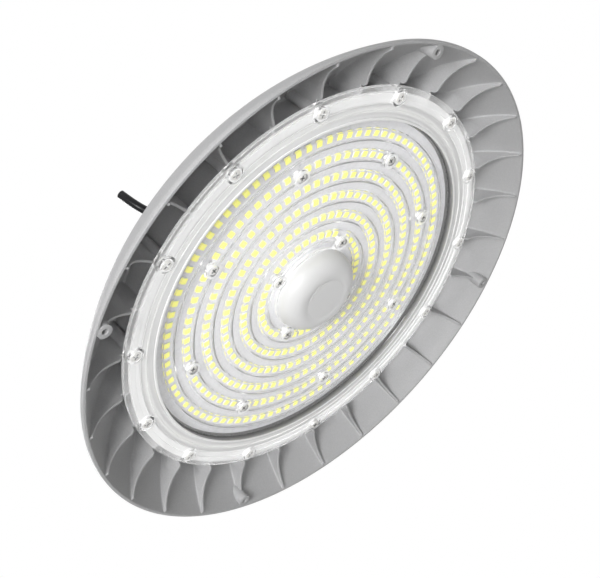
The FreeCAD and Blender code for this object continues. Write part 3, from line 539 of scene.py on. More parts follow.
def height_in(section, radius):
    """Height of a section of points at this radius."""
    ordered = sorted(section)
    for (r0, z0), (r1, z1) in zip(ordered, ordered[1:]):
        if r0 <= radius <= r1:
            return z0 + (z1 - z0) * (radius - r0) / max(r1 - r0, 1e-9)
    return ordered[0][1] if radius < ordered[0][0] else ordered[-1][1]


def casting_section():
    front = bowl_section(0.0)
    back = bowl_section(WALL)
    corners = [(RIM, 0.0, 0.5), (RIM - WALL + 0.05, 0.0, 0.4)]
    corners += front[1:-2]
    corners += [
        (HUB, FLOOR, 2.0), (HUB, SEAT, 0.4), (GROOVE[1], SEAT, 0.2), (GROOVE[1], SEAT + GROOVE_DEPTH),
        (GROOVE[0], SEAT + GROOVE_DEPTH)
    ]
    corners += [(GROOVE[0], SEAT, 0.2), (POCKET, SEAT, 0.4), (POCKET, PLATE), (6.0, PLATE), (6.0, PLATE_BACK)]
    corners += [
        (COLLAR - COLLAR_WALL, PLATE_BACK, 1.2), (COLLAR - COLLAR_WALL, COLLAR_TOP, 0.4),
        (COLLAR, COLLAR_TOP, 0.4)
    ]
    corners += [
        (COLLAR, PLATE_BACK, 1.2), (HUB - HUB_WALL, PLATE_BACK, 1.2), (HUB - HUB_WALL, FLOOR_BACK, 0.6)
    ]
    corners += back[::-1][1:]
    return rounded(corners)


def fin_front(radius):
    """Height of a fin's front edge at this radius."""
    start, end = FIN_START, FIN_END
    if radius < FIN_INNER:
        return SEAT + 0.6
    if radius < start:
        across = (start - radius) / FIN_CORNER
        return FIN_TOP + FIN_CORNER * (1 - math.sqrt(max(0.0, 1 - across * across)))
    if radius > end:
        return FIN_TIP
    reach, fall = end - start, FIN_TOP - FIN_TIP
    arc = (reach * reach + fall * fall) / (2 * fall)
    return FIN_TOP - arc + math.sqrt(arc * arc - (radius - start) ** 2)


def add_fin(bm, sizes):
    """One front fin, thinner at its front edge, with its edges rounded and its root in a fillet."""
    root = bowl_section(0.0)
    radii = [
        HUB - 1.5, HUB, HUB + 1.2, FIN_INNER - 0.01, FIN_INNER, FIN_INNER + 0.3, FIN_INNER + 0.9,
        FIN_INNER + 1.7
    ]
    radii += [FIN_START + k * (FIN_END - FIN_START) / 14 for k in range(15)]
    radii += [RIM - WALL - 1.2, RIM - WALL - 0.1]
    edge, fillet = sizes.edge / MM, sizes.fillet / MM
    columns = []
    for radius in radii:
        top = fin_front(radius)
        base = max(top + 0.25, height_in(root, min(radius, RIM - WALL)))
        depth = base - top
        rows = [(0.0, -edge), (min(edge, depth * 0.3), 0.0)]
        rows += [
            (max(depth - fillet * k, depth * 0.4), fillet * extra) for k,
            extra in ((1.0, 0.0), (0.35, 0.3), (0.0, 1.0))
        ]
        rows.append((depth + WALL * 0.6, fillet))
        column = []
        for drop, extra in rows:
            share = min(1.0, drop / 28.0)
            half = (sizes.fin_front + (sizes.fin_root - sizes.fin_front) * share) / MM / 2 + extra
            column.append((half, top + drop))
        columns.append(
            [[bm.verts.new((radius * MM, s * half * MM, z * MM)) for half, z in column] for s in (-1, 1)]
        )
    for one, two in zip(columns, columns[1:]):
        for side in (0, 1):
            for i in range(len(one[side]) - 1):
                bm.faces.new((one[side][i], two[side][i], two[side][i + 1], one[side][i + 1]))
        bm.faces.new((one[0][0], two[0][0], two[1][0], one[1][0]))
        bm.faces.new((one[0][-1], two[0][-1], two[1][-1], one[1][-1]))
    for ends in (columns[0], columns[-1]):
        for i in range(len(ends[0]) - 1):
            bm.faces.new((ends[0][i], ends[0][i + 1], ends[1][i + 1], ends[1][i]))


def add_boss(bm, circle, radius, bore, front, bore_depth, sides=40):
    """A bored boss that grows from the bowl, ending inside the bowl's wall."""
    root = bowl_section(WALL * 0.55)
    rings = []
    levels = [
        (bore, bore_depth), (bore, 0.3), (bore + 0.3, 0.0), (radius - 0.25, 0.0), (radius - 0.05, 0.08),
        (radius, 0.25)
    ]
    for r, z in levels + [(radius, None)]:
        ring = []
        for k in range(sides):
            turn = k * FULL_TURN / sides
            x, y = circle + r * math.cos(turn), r * math.sin(turn)
            high = height_in(root, max(HUB, math.hypot(x, y)))
            ring.append(bm.verts.new((x * MM, y * MM, (high if z is None else min(front + z, high)) * MM)))
        rings.append(ring)
    bridge(bm, rings)
    bm.faces.new(rings[0])
    bm.faces.new(rings[-1])


# ---------------------------------------------------------------- pieces
class HIGHBAY_OT_cable(bpy.types.Operator):
    """Lay the cable from the gland along its route"""

    bl_idname = "object.highbay_cable"
    bl_label = "Cable"

    def execute(self, context):
        sizes = settings("cable")
        route = (
            (0, 0.0748, 0.0735), (0, 0.0853, 0.0735), (0, 0.0948, 0.0780), (0, 0.1016, 0.0860),
            (0, 0.1043, 0.0961)
        )
        curve = bpy.data.curves.new("mains_cable_sheath", "CURVE")
        curve.dimensions = "3D"
        spline = curve.splines.new("NURBS")
        spline.points.add(len(route) - 1)
        for point, place in zip(spline.points, route):
            point.co = (*place, 1.0)
        spline.order_u = 3
        spline.use_endpoint_u = True
        spline.resolution_u = 16
        curve.bevel_depth = sizes.radius
        curve.bevel_resolution = 10
        curve.use_fill_caps = True
        cable = bpy.data.objects.new("mains_cable_sheath", curve)
        context.scene.collection.objects.link(cable)
        rubber = finish(
            "cable_sheath", sizes.colour, 0.34, mottle=0.15, grain_scale=900.0, grain_depth=0.00003
        )
        rubber.node_tree.nodes["Principled BSDF"].inputs["Specular IOR Level"].default_value = 0.25
        curve.materials.append(rubber)
        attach(cable, "root")
        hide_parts("mains_cable")
        return {"FINISHED"}


class HIGHBAY_OT_casting(bpy.types.Operator):
    """Turn the heat sink's bowl, hub and collar and set its fins and bosses"""

    bl_idname = "object.highbay_casting"
    bl_label = "Heat sink"

    def execute(self, context):
        sizes = settings("casting")
        paint = powder_coat("casting_powder_coat", sizes.colour)
        whole = turned(casting_section())
        fins = bmesh.new()
        add_fin(fins, sizes)
        repeat(fins, circle_angles(sizes.fin_count))
        back_fins = bmesh.new()
        low, high = PLATE_BACK - 2.0, COLLAR_TOP - 1.0
        outline = [(COLLAR - 2.2, low), (HUB - 2.0, low), (HUB - 2.0, high - 4.5), (COLLAR - 2.2, high)]
        add_prism(back_fins, outline, -0.85, 0.85, 0.25, UPRIGHT)
        repeat(back_fins, circle_angles(sizes.fin_count, FIN_STEP / 2))
        lens_bosses = bmesh.new()
        add_boss(lens_bosses, SCREW_CIRCLE, 4.2, 2.05, SEAT, 10.2)
        repeat(lens_bosses, FLANGE_SCREWS)
        rim_bosses = bmesh.new()
        add_boss(rim_bosses, BOSS_CIRCLE, 4.3, 1.65, 0.0, 7.0)
        repeat(rim_bosses, circle_angles(4, -FIN_STEP))
        post = rounded(
            [(2.15, PLATE_BACK - 1), (4.6, PLATE_BACK - 1), (4.6, COLLAR_TOP, 0.4), (2.15, COLLAR_TOP, 0.3)]
        )
        collars = turned_copies(post, COLLAR, HOUSING_SCREWS, closed=True)
        for part in (fins, back_fins, lens_bosses, rim_bosses, collars):
            join(whole, part)
        piece("heat_sink_casting", whole, paint, "casting_paint", "heat_sink")
        return {"FINISHED"}


def lens_section():
    """Flange with its bead, spigot and optic plate with a ring lens over each ring of LEDs."""
    front, back = OPTIC, OPTIC_BACK
    corners = [(28.2, back, 0.2), (28.2, front, 0.3)]
    for radius in reversed(RING_RADII):
        corners += arc_points((radius - 5.21, front), (radius, front - 1.35), (radius + 5.21, front), 14)
    corners += [(SPIGOT, front, 0.6), (SPIGOT, 12.5, 0.3), (118.6, 12.5, 0.3), (118.6, 13.0), (122.6, 13.0)]
    corners += [(122.6, 12.5, 0.2), (123.8, 12.5, 0.2), (123.8, 13.0), (126.6, 13.0), (126.6, 12.55, 0.15)]
    corners += [(127.5, 12.55, 0.15), (127.5, 13.0), (130.6, 13.0), (130.6, 12.2, 0.3)]
    corners += [(134.2, 12.2, 0.3), (134.2, 13.4), (136.4, 13.4), (136.4, 12.9, 0.2), (FLANGE, 12.9, 0.3)]
    corners += [(FLANGE, SEAT, 0.3), (134.3, SEAT), (119.0, SEAT, 0.3), (119.0, back, 0.3)]
    for radius in RING_RADII:
        corners += arc_points((radius + 3.4, back), (radius, back - 1.3), (radius - 3.4, back), 10)
    return rounded(corners)


CLEAR, MILKY, OUTER, BEAD, PAINTED_SHADE_FACES = range(5)
WELL_REACH = 5.3
WELL_HAZE = 0.5                # faces of a well that look along the axis at least this much are milky


def lens_material(face, screws):
    """Which of the lens's materials a face of it has."""
    spot, radius, height = face.center.xy, face.center.xy.length / MM, face.center.z / MM
    # the spigot's inner wall gets the painted shade of the pocket behind it
    if 116.3 < radius < SPIGOT + 0.03 and 12.7 < height < 16.7:
        return PAINTED_SHADE_FACES
    if radius > 134.4:
        return OUTER
    if any((spot - screw).length < WELL_REACH * MM for screw in screws):
        return MILKY if abs(face.normal.z) > WELL_HAZE else OUTER
    if SPIGOT + 0.03 < radius < 119.2 and height < 13.1:
        return BEAD
    return MILKY if radius > SPIGOT + 0.03 else CLEAR


class HIGHBAY_OT_lens(bpy.types.Operator):
    """Turn the clear ring lens, with its screw pads, wells and pillars"""

    bl_idname = "object.highbay_lens"
    bl_label = "Ring lens"

    def execute(self, context):
        sizes = settings("lens")
        body = turned(lens_section())
        # painted light: the clear lens glows faintly, though it is no lamp
        clear = lamp_glow_or_painted_light(clear_finish("clear_acrylic_painted_glow", sizes.colour, 0.95), WHITE, 0.010)
        lens = piece("ring_lens", body, clear, "clear_lens", "lens")
        pad = rounded([(0.0, 11.7), (0.0, 15.2), (5.7, 15.2), (5.7, 11.7, 0.35)])
        pillar = [(0.0, 14.5), (4.9, 14.5), (5.1, 14.7), (5.1, 17.3), (4.0, 17.6), (4.0, 20.6), (0.0, 20.6)]
        well = [(0.0, 11.5), (4.1, 11.5), (4.1, 13.2), (2.05, 13.2), (2.05, 15.6), (0.0, 15.6)]
        inner_well = [(0.0, 14.3), (3.4, 14.3), (3.4, 16.9), (1.65, 16.9), (1.65, 21.0), (0.0, 21.0)]
        for outer, inner, operation in ((pad, pillar, "UNION"), (well, inner_well, "DIFFERENCE")):
            solids = turned_copies(outer, SCREW_CIRCLE, FLANGE_SCREWS)
            for circle, angles in INNER_PLACES:
                join(solids, turned_copies(inner, circle, angles))
            carve(lens, solids, operation)
        # painted light: the milky, edge and bead finishes glow, though the lens is no lamp
        for material in (
            lamp_glow_or_painted_light(clear_finish("milky_acrylic_painted_glow", sizes.colour, 0.5), WHITE, 0.08),
            lamp_glow_or_painted_light(clear_finish("edge_acrylic_painted_glow", sizes.colour, 0.88), WHITE, 0.02),
            lamp_glow_or_painted_light(finish("bead_acrylic_painted_glow", (0.82, 0.82, 0.82), 0.12, mottle=0.02), WHITE, 0.08),
            # painted shade of the pocket behind the spigot's wall
            painted_shade_finish("wall_painted_shade"),
        ):
            lens.data.materials.append(material)
        screws = [
            (
                spin(angle) @ Vector((circle * MM, 0, 0))
            ).xy for circle, angles in INNER_PLACES for angle in angles
        ]
        for face in lens.data.polygons:
            face.material_index = lens_material(face, screws)
        # a ring under the spigot that carries the same painted shade of the pocket behind the lens's wall
        section = [(115.7, 20.2), (115.7, 20.45), (118.7, 20.45), (118.7, 18.3), (118.3, 18.3)]
        foot = turned(rounded(section))
        piece("lens_foot_ring_painted_shade", foot, painted_shade_finish("foot_painted_shade"), "clear_lens")
        return {"FINISHED"}


def phillips_screw(radius, height, shank, seat, length, circle):
    """A pan-head screw with a cross recess, its head in front of the seat."""
    crown = [
        (0.0, seat - height), (radius * 0.62, seat - height + 0.04), (radius * 0.86, seat - height * 0.88)
    ]
    crown += [(radius * 0.97, seat - height * 0.66), (radius, seat - height * 0.35), (radius, seat)]
    crown += [(shank, seat), (shank, seat + length), (0.0, seat + length)]
    bm = turned(crown, 40, closed=False)
    screw = as_object("screw", bm)
    slots = bmesh.new()
    reach, half = radius * 0.60, radius * 0.13
    top, bottom = seat - height - 0.3, seat - height * 0.35
    cross = [(reach, -half), (reach, half), (half, half), (half, reach), (-half, reach), (-half, half)]
    cross += [(-reach, half), (-reach, -half), (-half, -half), (-half, -reach), (half, -reach), (half, -half)]
    add_prism(slots, cross, top, bottom)
    carve(screw, slots, "DIFFERENCE")
    bm = bmesh.new()
    bm.from_mesh(screw.data)
    # painted shade: faces inside the cross recess get the second, darker material
    for face in bm.faces:
        spot = face.calc_center_median()
        inside = spot.xy.length < reach * MM and spot.z < (bottom + 0.05) * MM
        face.material_index = int(inside and (abs(face.normal.z) < 0.5 or spot.z > (bottom - 0.05) * MM))
    mesh = screw.data
    bpy.data.objects.remove(screw)
    bpy.data.meshes.remove(mesh)
    bmesh.ops.transform(bm, matrix=shift(circle) @ spin(24.0), verts=list(bm.verts))
    return bm


class HIGHBAY_OT_screws(bpy.types.Operator):
    """Set the Phillips screws of the lens"""

    bl_idname = "object.highbay_screws"
    bl_label = "Lens screws"

    def execute(self, context):
        steel = finish(
            "screw_nickel", settings("lens").screw, 0.38, metallic=0.45, mottle=0.05, grain_scale=2500.0
        )
        # painted shade for the cross recess, darker than the nickel
        recess = finish("screw_recess_painted_shade", (0.16, 0.16, 0.16), 0.5, metallic=0.45, mottle=0.1)
        small = (3.0, 1.9, 1.5, 16.9, 8.5)
        for name, size, circle, angles in (
            ("flange_screws", (3.5, 2.2, 1.9, 13.2, 12.0), SCREW_CIRCLE, FLANGE_SCREWS),
            ("inner_screws", small, INNER_CIRCLE, INNER_SCREWS),
            ("centre_screws", small, CENTRE_CIRCLE, CENTRE_SCREWS),
        ):
            screws = phillips_screw(*size, circle)
            repeat(screws, angles)
            piece(name, screws, steel, "steel_screw", "lens_" + name).data.materials.append(recess)
        return {"FINISHED"}


def rounded_outline(width, depth, radius, steps=3):
    """Outline of a rectangle with rounded corners, in the XY plane."""
    points = []
    for corner, (sx, sy) in enumerate(((1, 1), (-1, 1), (-1, -1), (1, -1))):
        for k in range(steps + 1):
            turn = (corner + k / steps) * math.pi / 2
            x = sx * (width / 2 - radius) + radius * math.cos(turn)
            points.append((x, sy * (depth / 2 - radius) + radius * math.sin(turn)))
    return points


class HIGHBAY_OT_lamps(bpy.types.Operator):
    """Set the rings of LEDs on their board"""

    bl_idname = "object.highbay_lamps"
    bl_label = "LEDs"

    def execute(self, context):
        colours = settings("lamps")
        frame_white = finish("led_frame", [c * 0.86 for c in colours.board], 0.45, mottle=0.02)
        phosphor = finish("led_phosphor", colours.window, 0.35, mottle=0.05, mottle_scale=400.0)
        lamp_glow_or_painted_light(phosphor, colours.window, colours.glow)
        for index, (radius, count) in enumerate(zip(RING_RADII, RING_COUNTS)):
            taken = {1: INNER_SCREWS, 5: CENTRE_SCREWS}.get(index, [])
            angles = [a for a in circle_angles(count) if all(abs(a - t) > 0.01 for t in taken)]
            lamp = bmesh.new()
            add_prism(lamp, rounded_outline(4.5, 4.1, 0.25), 19.86, 20.6, 0.06, shift(radius))
            repeat(lamp, angles)
            window = bmesh.new()
            add_prism(window, rounded_outline(4.3, 3.9, 0.6), 19.8, 19.95, 0.04, shift(radius))
            repeat(window, angles)
            for face in window.faces:
                face.material_index = 1
            join(lamp, window)
            name = "led_ring_%d" % (index + 1)
            made = piece("leds_%d" % (index + 1), lamp, frame_white, "led_phosphor", name)
            made.data.materials.append(phosphor)
        return {"FINISHED"}


class HIGHBAY_OT_dome(bpy.types.Operator):
    """Turn the frosted dome over the sensor"""

    bl_idname = "object.highbay_dome"
    bl_label = "Sensor dome"

    def execute(self, context):
        outside = [(29.2, 20.6), (29.2, 18.35), (28.0, 18.2), (28.0, 16.4)]
        outside += arc_points((27.9, 15.9), (23.6, 6.2), (18.0, 4.15), 14)
        outside += [(14.0, 4.03), (7.0, 4.0), (0.0, 4.0)]
        inside = [
            (0.0, 5.8), (10.0, 5.8)
        ] + arc_points((17.0, 5.9), (22.2, 7.6), (26.1, 15.9), 10) + [(26.2, 20.6)]
        shell = turned(outside + inside + [(29.2, 20.6)], 160, closed=False)
        bmesh.ops.remove_doubles(shell, verts=list(shell.verts), dist=1e-6)
        material = finish("frosted_dome", settings("lens").dome, 0.42, mottle=0.015, grain_scale=2200.0)
        shader = material.node_tree.nodes["Principled BSDF"]
        shader.inputs["Subsurface Weight"].default_value = 0.3
        shader.inputs["Subsurface Radius"].default_value = (0.004, 0.004, 0.004)
        # painted light: the frosted dome glows, though there is no lamp in it
        lamp_glow_or_painted_light(material, WHITE, 0.14)
        piece("sensor_dome_shell", shell, material, "frosted_dome", "sensor_dome", crease=50.0)
        return {"FINISHED"}


class HIGHBAY_OT_driver(bpy.types.Operator):
    """Turn the driver housing with its ribs, lobes and bosses"""

    bl_idname = "object.highbay_driver"
    bl_label = "Driver housing"

    def execute(self, context):
        sizes = settings("driver")
        paint = powder_coat("housing_powder_coat", sizes.colour)
        section = [(53.0, 51.0), (61.0, 51.0, 0.4), (61.0, 56.0, 0.6), (55.5, 56.0, 1.0), (55.5, 100.0, 5.0)]
        section += [(13.6, 100.0, 0.8), (13.0, 103.0, 0.5), (5.15, 103.0, 0.3), (5.15, 97.5), (53.0, 97.5)]
        drum = turned(rounded(section, 6), 192)
        ribs = bmesh.new()
        outline = [(54.0, 52.0), (58.5, 52.0), (58.5, 88.0), (57.9, 90.4), (54.0, 96.5)]
        add_prism(ribs, outline, -0.9, 0.9, 0.3, UPRIGHT)
        between = [
            a for a in circle_angles(32, 5.625)
            if all(abs(math.remainder(a - screw, 360)) > 5.7 for screw in HOUSING_SCREWS)
        ]
        repeat(ribs, [a for a in between if abs(a - 90) > 11])
        lobe = rounded([(2.15, 51.0), (4.6, 51.0, 0.4), (4.6, 56.0, 0.5), (2.15, 56.0, 0.3)])
        lobes = turned_copies(lobe, COLLAR, HOUSING_SCREWS, closed=True)
        boss = rounded([(7.65, 53.0), (11.0, 53.0), (11.0, 59.0, 0.6), (7.65, 59.0, 0.3)])
        gland_boss = turned(boss, 64, GLAND_AIM)
        for part in (ribs, lobes, gland_boss):
            join(drum, part)
        piece("driver_drum", drum, paint, "drum_paint", "driver_housing")
        return {"FINISHED"}


def add_nut(bm, flats, bore, low, high, matrix=None):
    """A chamfered hexagon nut with its bore."""
    rings = []
    for z, inset in ((low, 0.09), (low + flats * 0.04, 0.0), (high - flats * 0.04, 0.0), (high, 0.09)):
        rings.append([])
        for k in range(48):
            turn = k * FULL_TURN / 48
            wedge = math.remainder(turn - math.pi / 6, math.pi / 3)
            side = flats / 2 / math.cos(wedge)
            r = min(side, flats / math.sqrt(3) * (1 - inset)) if inset else side
            rings[-1].append(bm.verts.new(polar(r, turn, z)))
    for z in (high, low):
        rings.append([])
        for k in range(48):
            turn = k * FULL_TURN / 48
            rings[-1].append(bm.verts.new(polar(bore, turn, z)))
    bridge(bm, rings, closed=True)
    if matrix is not None:
        bmesh.ops.transform(bm, matrix=matrix, verts=[v for ring in rings for v in ring])


class HIGHBAY_OT_hanger(bpy.types.Operator):
    """Build the eye bolt with its washer and nut, the housing's screws and the vent plug"""

    bl_idname = "object.highbay_hanger"
    bl_label = "Eye bolt, screws and vent"

    def execute(self, context):
        colours = settings("driver")
        zinc = finish(
            "zinc_plate", colours.steel, 0.34, metallic=1.0, mottle=0.10, mottle_scale=160.0,
            grain_scale=1800.0
        )
        bolt = bmesh.new()
        bar = [
            (14.0 + 3.8 * math.cos(k * FULL_TURN / 28), 3.8 * math.sin(k * FULL_TURN / 28)) for k in range(28)
        ]
        add_turned(bolt, bar, 96, shift(z=132.0) @ UPRIGHT)
        neck = [(0.0, 119.5), (3.9, 119.5), (4.6, 117.2), (7.2, 115.0), (9.9, 114.0), (9.9, 113.0)]
        thread = [(5.0 - 0.35 * (k % 2), 112.9 - 0.5 * k) for k in range(48)]
        add_turned(bolt, neck + thread + [(4.4, 89.5), (0.0, 89.5)], 64, closed=False)
        piece("eye_bolt_forging", bolt, zinc, "zinc_steel", "eye_bolt", crease=40.0)
        washer = turned(
            rounded([(5.2, 103.0), (11.0, 103.0, 0.3), (11.0, 105.0, 0.3), (5.2, 105.0, 0.2)]), 64
        )
        piece("eye_bolt_washer", washer, zinc, "zinc_steel", "eye_washer")
        nut = bmesh.new()
        add_nut(nut, 17.0, 5.15, 105.0, 113.0)
        piece("eye_bolt_nut", nut, zinc, "zinc_steel", "eye_lock_nut")
        cap = [
            (0.0, 57.0), (1.75, 57.0), (1.75, 58.3), (2.0, 58.6), (3.3, 58.6), (3.6, 58.2), (3.6, 56.0),
            (2.0, 56.0)
        ]
        heads = turned_copies(cap + [(2.0, 38.0), (0.0, 38.0)], COLLAR, HOUSING_SCREWS, steps=40)
        piece("housing_screws", heads, zinc, "steel_screw", "driver_screws")
        plastic = finish("vent_plastic", colours.plastic, 0.5, mottle=0.1, grain_scale=1600.0)
        stem = rounded([(0.0, 94.5), (5.0, 94.5), (5.0, 99.9), (7.2, 99.9), (7.2, 107.0, 0.8), (0.0, 106.6)])
        vent = turned(stem, 64, shift(34.0), closed=False)
        add_nut(vent, 16.0, 4.0, 100.0, 102.8, shift(34.0))
        piece("vent_cap", vent, plastic, "black_polyamide", "vent_plug")
        return {"FINISHED"}


class HIGHBAY_OT_gland(bpy.types.Operator):
    """Build the cable gland's body and nut"""

    bl_idname = "object.highbay_gland"
    bl_label = "Cable gland"

    def execute(self, context):
        plastic = finish("gland_plastic", settings("driver").plastic, 0.45, mottle=0.1, grain_scale=1600.0)
        body = bmesh.new()
        add_nut(body, 20.0, 4.75, 59.0, 64.0, GLAND_AIM)
        stem = rounded([(4.75, 47.0), (7.5, 47.0, 0.4), (7.5, 59.0), (4.75, 59.0)])
        add_turned(body, stem, 64, GLAND_AIM)
        piece("gland_stem", body, plastic, "black_polyamide", "gland_body")
        nut = bmesh.new()
        rings = []
        profile = [(4.75, 64.0), (9.6, 64.0), (10.0, 64.0), (10.0, 70.3), (9.2, 72.4), (7.9, 74.6)]
        profile += [(6.4, 76.4), (5.9, 77.0), (4.75, 77.0)]
        for r, y in profile:
            ring = []
            for k in range(96):
                turn = k * FULL_TURN / 96
                grip = 0.35 * max(0.0, math.cos(turn * 12)) if r > 9.3 and 64.5 < y < 71 else 0.0
                ring.append(nut.verts.new(polar(r - grip, turn, y)))
            rings.append(ring)
        bridge(nut, rings, closed=True)
        bmesh.ops.transform(nut, matrix=GLAND_AIM, verts=list(nut.verts))
        piece("gland_cap", nut, plastic, "black_polyamide", "gland_nut")
        return {"FINISHED"}


class HIGHBAY_OT_inside(bpy.types.Operator):
    """Give the CAD parts that stay their finishes"""

    bl_idname = "object.highbay_inside"
    bl_label = "Inner parts"

    def execute(self, context):
        lamps = settings("lamps")
        driver = settings("driver")
        zinc = finish("inner_zinc", driver.steel, 0.36, metallic=1.0, mottle=0.08)
        plastic = finish("inner_plastic", driver.plastic, 0.5, mottle=0.1)
        finishes = {
            "lens_gasket": finish("gasket_silicone", (0.80, 0.80, 0.78), 0.6, mottle=0.03),
            # painted light on the board's mask
            "led_board": lamp_glow_or_painted_light(
                board_finish("led_board_mask", lamps.board, 90), lamps.board, lamps.board_painted_glow
            ),
            "led_leads": finish("lead_insulation", (0.45, 0.03, 0.02), 0.5, mottle=0.1),
            "sensor_socket": finish("socket_plastic", (0.75, 0.74, 0.70), 0.5),
            "sensor_board": finish(
                "sensor_board_mask", (0.02, 0.14, 0.05), 0.4, mottle=0.15, mottle_scale=200.0
            ),
            "sensor_can": finish("tinned_can", (0.65, 0.65, 0.63), 0.3, metallic=1.0),
            "driver_base_plate": finish(
                "base_plate_metal", (0.60, 0.60, 0.60), 0.38, metallic=1.0, mottle=0.06
            ),
            "driver_gasket": finish("drum_gasket_rubber", (0.02, 0.02, 0.02), 0.7, mottle=0.15),
            "driver_standoffs": zinc,
            "driver_board": finish(
                "driver_board_mask", (0.03, 0.12, 0.05), 0.42, mottle=0.15, mottle_scale=150.0
            ),
            "transformer": finish(
                "transformer_tape", (0.62, 0.45, 0.05), 0.4, mottle=0.12, mottle_scale=120.0
            ),
            "capacitors": finish("capacitor_sleeve", (0.02, 0.02, 0.03), 0.3, mottle=0.2),
            "choke": finish("choke_core", (0.05, 0.10, 0.06), 0.5, mottle=0.2, mottle_scale=300.0),
            "mains_terminal": finish("terminal_plastic", (0.03, 0.25, 0.08), 0.45, mottle=0.1),
            "eye_inner_nut": zinc,
            "gland_seal": finish("gland_seal_rubber", (0.02, 0.02, 0.02), 0.7, mottle=0.15),
            "gland_lock_nut": plastic,
            "cable_tail": finish("cable_tail_sheath", settings("cable").colour, 0.42, mottle=0.15),
        }
        for name, material in finishes.items():
            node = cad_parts[name]
            node.data.materials.clear()
            node.data.materials.append(material)
        return {"FINISHED"}


# ---------------------------------------------------------------- stage
FLOOR_HALF = 30.0
FLOOR_LIFT = 0.55              # light that the floor shows the camera beyond its own
LAMP_AIM = Vector((0, 0, 0.03))
CAMERA_PLACE = (-0.15883, 0.48991, -0.32287)
CAMERA_RIGHT = Vector((-0.49129, -0.60800, -0.62367))
CAMERA_UP = Vector((-0.82982, 0.10916, 0.54726))


def lamp(name, place, width, power):
    """A round lamp that shines at the middle of the light."""
    light = bpy.data.lights.new(name, "AREA")
    light.shape = "DISK"
    light.size = width
    light.energy = power
    made = bpy.data.objects.new(name, light)
    made.location = place
    made.rotation_euler = (LAMP_AIM - Vector(place)).to_track_quat("-Z", "Y").to_euler()
    bpy.context.scene.collection.objects.link(made)


def whitened(tree, plain, white):
    """Show the white shader to the camera, to mirrors and through glass, and the plain one to all else."""
    link = tree.links.new
    path = add_node(tree, "LightPath")
    either = add_node(tree, "Math", operation="MAXIMUM")
    any_of = add_node(tree, "Math", operation="MAXIMUM")
    mixing = add_node(tree, "MixShader")
    link(path.outputs["Is Camera Ray"], either.inputs[0])
    link(path.outputs["Is Glossy Ray"], either.inputs[1])
    link(either.outputs[0], any_of.inputs[0])
    link(path.outputs["Is Transmission Ray"], any_of.inputs[1])
    link(any_of.outputs[0], mixing.inputs[0])
    link(plain.outputs[0], mixing.inputs[1])
    link(white.outputs[0], mixing.inputs[2])
    return mixing


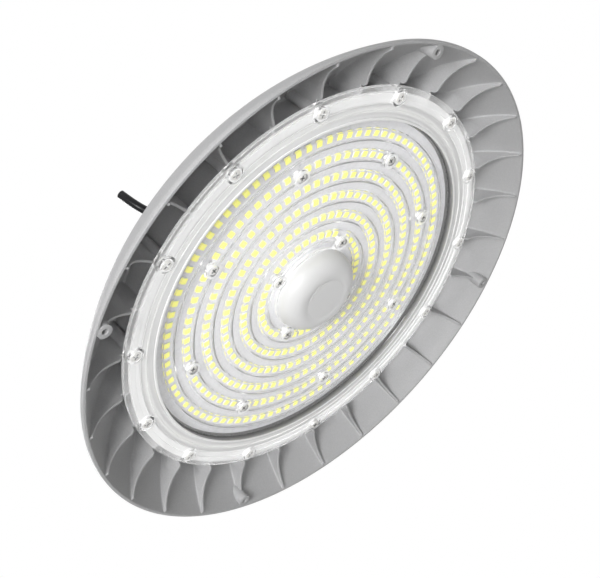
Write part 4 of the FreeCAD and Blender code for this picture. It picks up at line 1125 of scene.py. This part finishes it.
class HIGHBAY_OT_stage(bpy.types.Operator):
    """Set the floor, the lamps, the world and the camera"""

    bl_idname = "object.highbay_stage"
    bl_label = "Stage"

    def execute(self, context):
        scene = context.scene
        stage = settings("stage")
        scene.view_settings.view_transform = "Standard"
        world = bpy.data.worlds.new("studio")
        world.use_nodes = True
        scene.world = world
        tree = world.node_tree
        around = tree.nodes["Background"]
        around.inputs["Strength"].default_value = stage.world_level
        around.inputs["Color"].default_value = (1, 1, 1, 1)
        backdrop = add_node(tree, "Background", Color=(1, 1, 1, 1), Strength=1.0)
        mixing = whitened(tree, around, backdrop)
        tree.links.new(mixing.outputs[0], tree.nodes["World Output"].inputs["Surface"])

        mesh = bpy.data.meshes.new("studio_floor")
        corners = [(x * FLOOR_HALF, y * FLOOR_HALF, 0) for x, y in ((-1, -1), (1, -1), (1, 1), (-1, 1))]
        mesh.from_pydata(corners, [], [(0, 1, 2, 3)])
        floor = bpy.data.objects.new("studio_floor", mesh)
        floor.location.z = -stage.floor_drop
        scene.collection.objects.link(floor)
        paper = finish("floor_paper", stage.floor_colour, 0.8, mottle=0.01, mottle_scale=3.0)
        tree = paper.node_tree
        light = add_node(tree, "Emission", Strength=FLOOR_LIFT)
        lifted = add_node(tree, "AddShader")
        shader = tree.nodes["Principled BSDF"]
        tree.links.new(shader.outputs[0], lifted.inputs[0])
        tree.links.new(light.outputs[0], lifted.inputs[1])
        mixing = whitened(tree, shader, lifted)
        tree.links.new(mixing.outputs[0], tree.nodes["Material Output"].inputs["Surface"])
        mesh.materials.append(paper)

        for name, place, width, power in (
            ("key_lamp", (-0.06, 1.22, -0.40), 0.5, stage.key_power),
            ("back_lamp", (-0.55, 0.85, 0.95), 0.8, stage.back_power),
            ("rear_lamp", (0.75, -0.75, 0.85), 0.8, stage.rear_power),
            ("fill_lamp", (-0.25, 0.85, -0.42), 0.7, stage.fill_power),
        ):
            lamp(name, place, width, power)

        camera = bpy.data.objects.new("camera", bpy.data.cameras.new("camera"))
        camera.data.lens = stage.lens_length
        camera.data.clip_start = 0.01
        axes = Matrix((CAMERA_RIGHT, CAMERA_UP, CAMERA_RIGHT.cross(CAMERA_UP))).transposed().to_4x4()
        camera.matrix_world = Matrix.Translation(CAMERA_PLACE) @ axes
        scene.collection.objects.link(camera)
        scene.camera = camera
        return {"FINISHED"}


OPERATORS = (
    HIGHBAY_OT_stage,
    HIGHBAY_OT_cable,
    HIGHBAY_OT_casting,
    HIGHBAY_OT_lens,
    HIGHBAY_OT_screws,
    HIGHBAY_OT_lamps,
    HIGHBAY_OT_dome,
    HIGHBAY_OT_driver,
    HIGHBAY_OT_hanger,
    HIGHBAY_OT_gland,
    HIGHBAY_OT_inside,
)


class HIGHBAY_PT_panel(bpy.types.Panel):
    """Lists the light's sizes, colours and pieces"""

    bl_idname = "HIGHBAY_PT_panel"
    bl_label = "High bay light"
    bl_space_type = "VIEW_3D"
    bl_region_type = "UI"
    bl_category = "High Bay"

    def draw(self, context):
        for name, group in SETTINGS.items():
            box = self.layout.box()
            for entry in group.__annotations__:
                box.prop(getattr(context.scene, name), entry)
        for operator in OPERATORS:
            self.layout.operator(operator.bl_idname)


CLASSES = tuple(SETTINGS.values()) + OPERATORS + (HIGHBAY_PT_panel,)


def register():
    for cls in CLASSES:
        bpy.utils.register_class(cls)
    for name, group in SETTINGS.items():
        setattr(bpy.types.Scene, name, PointerProperty(type=group))


def unregister():
    for name in SETTINGS:
        delattr(bpy.types.Scene, name)
    for cls in reversed(CLASSES):
        bpy.utils.unregister_class(cls)


def main():
    register()
    for operator in OPERATORS:
        group, name = operator.bl_idname.split(".")
        getattr(getattr(bpy.ops, group), name)()


if __name__ == "__main__":
    main()
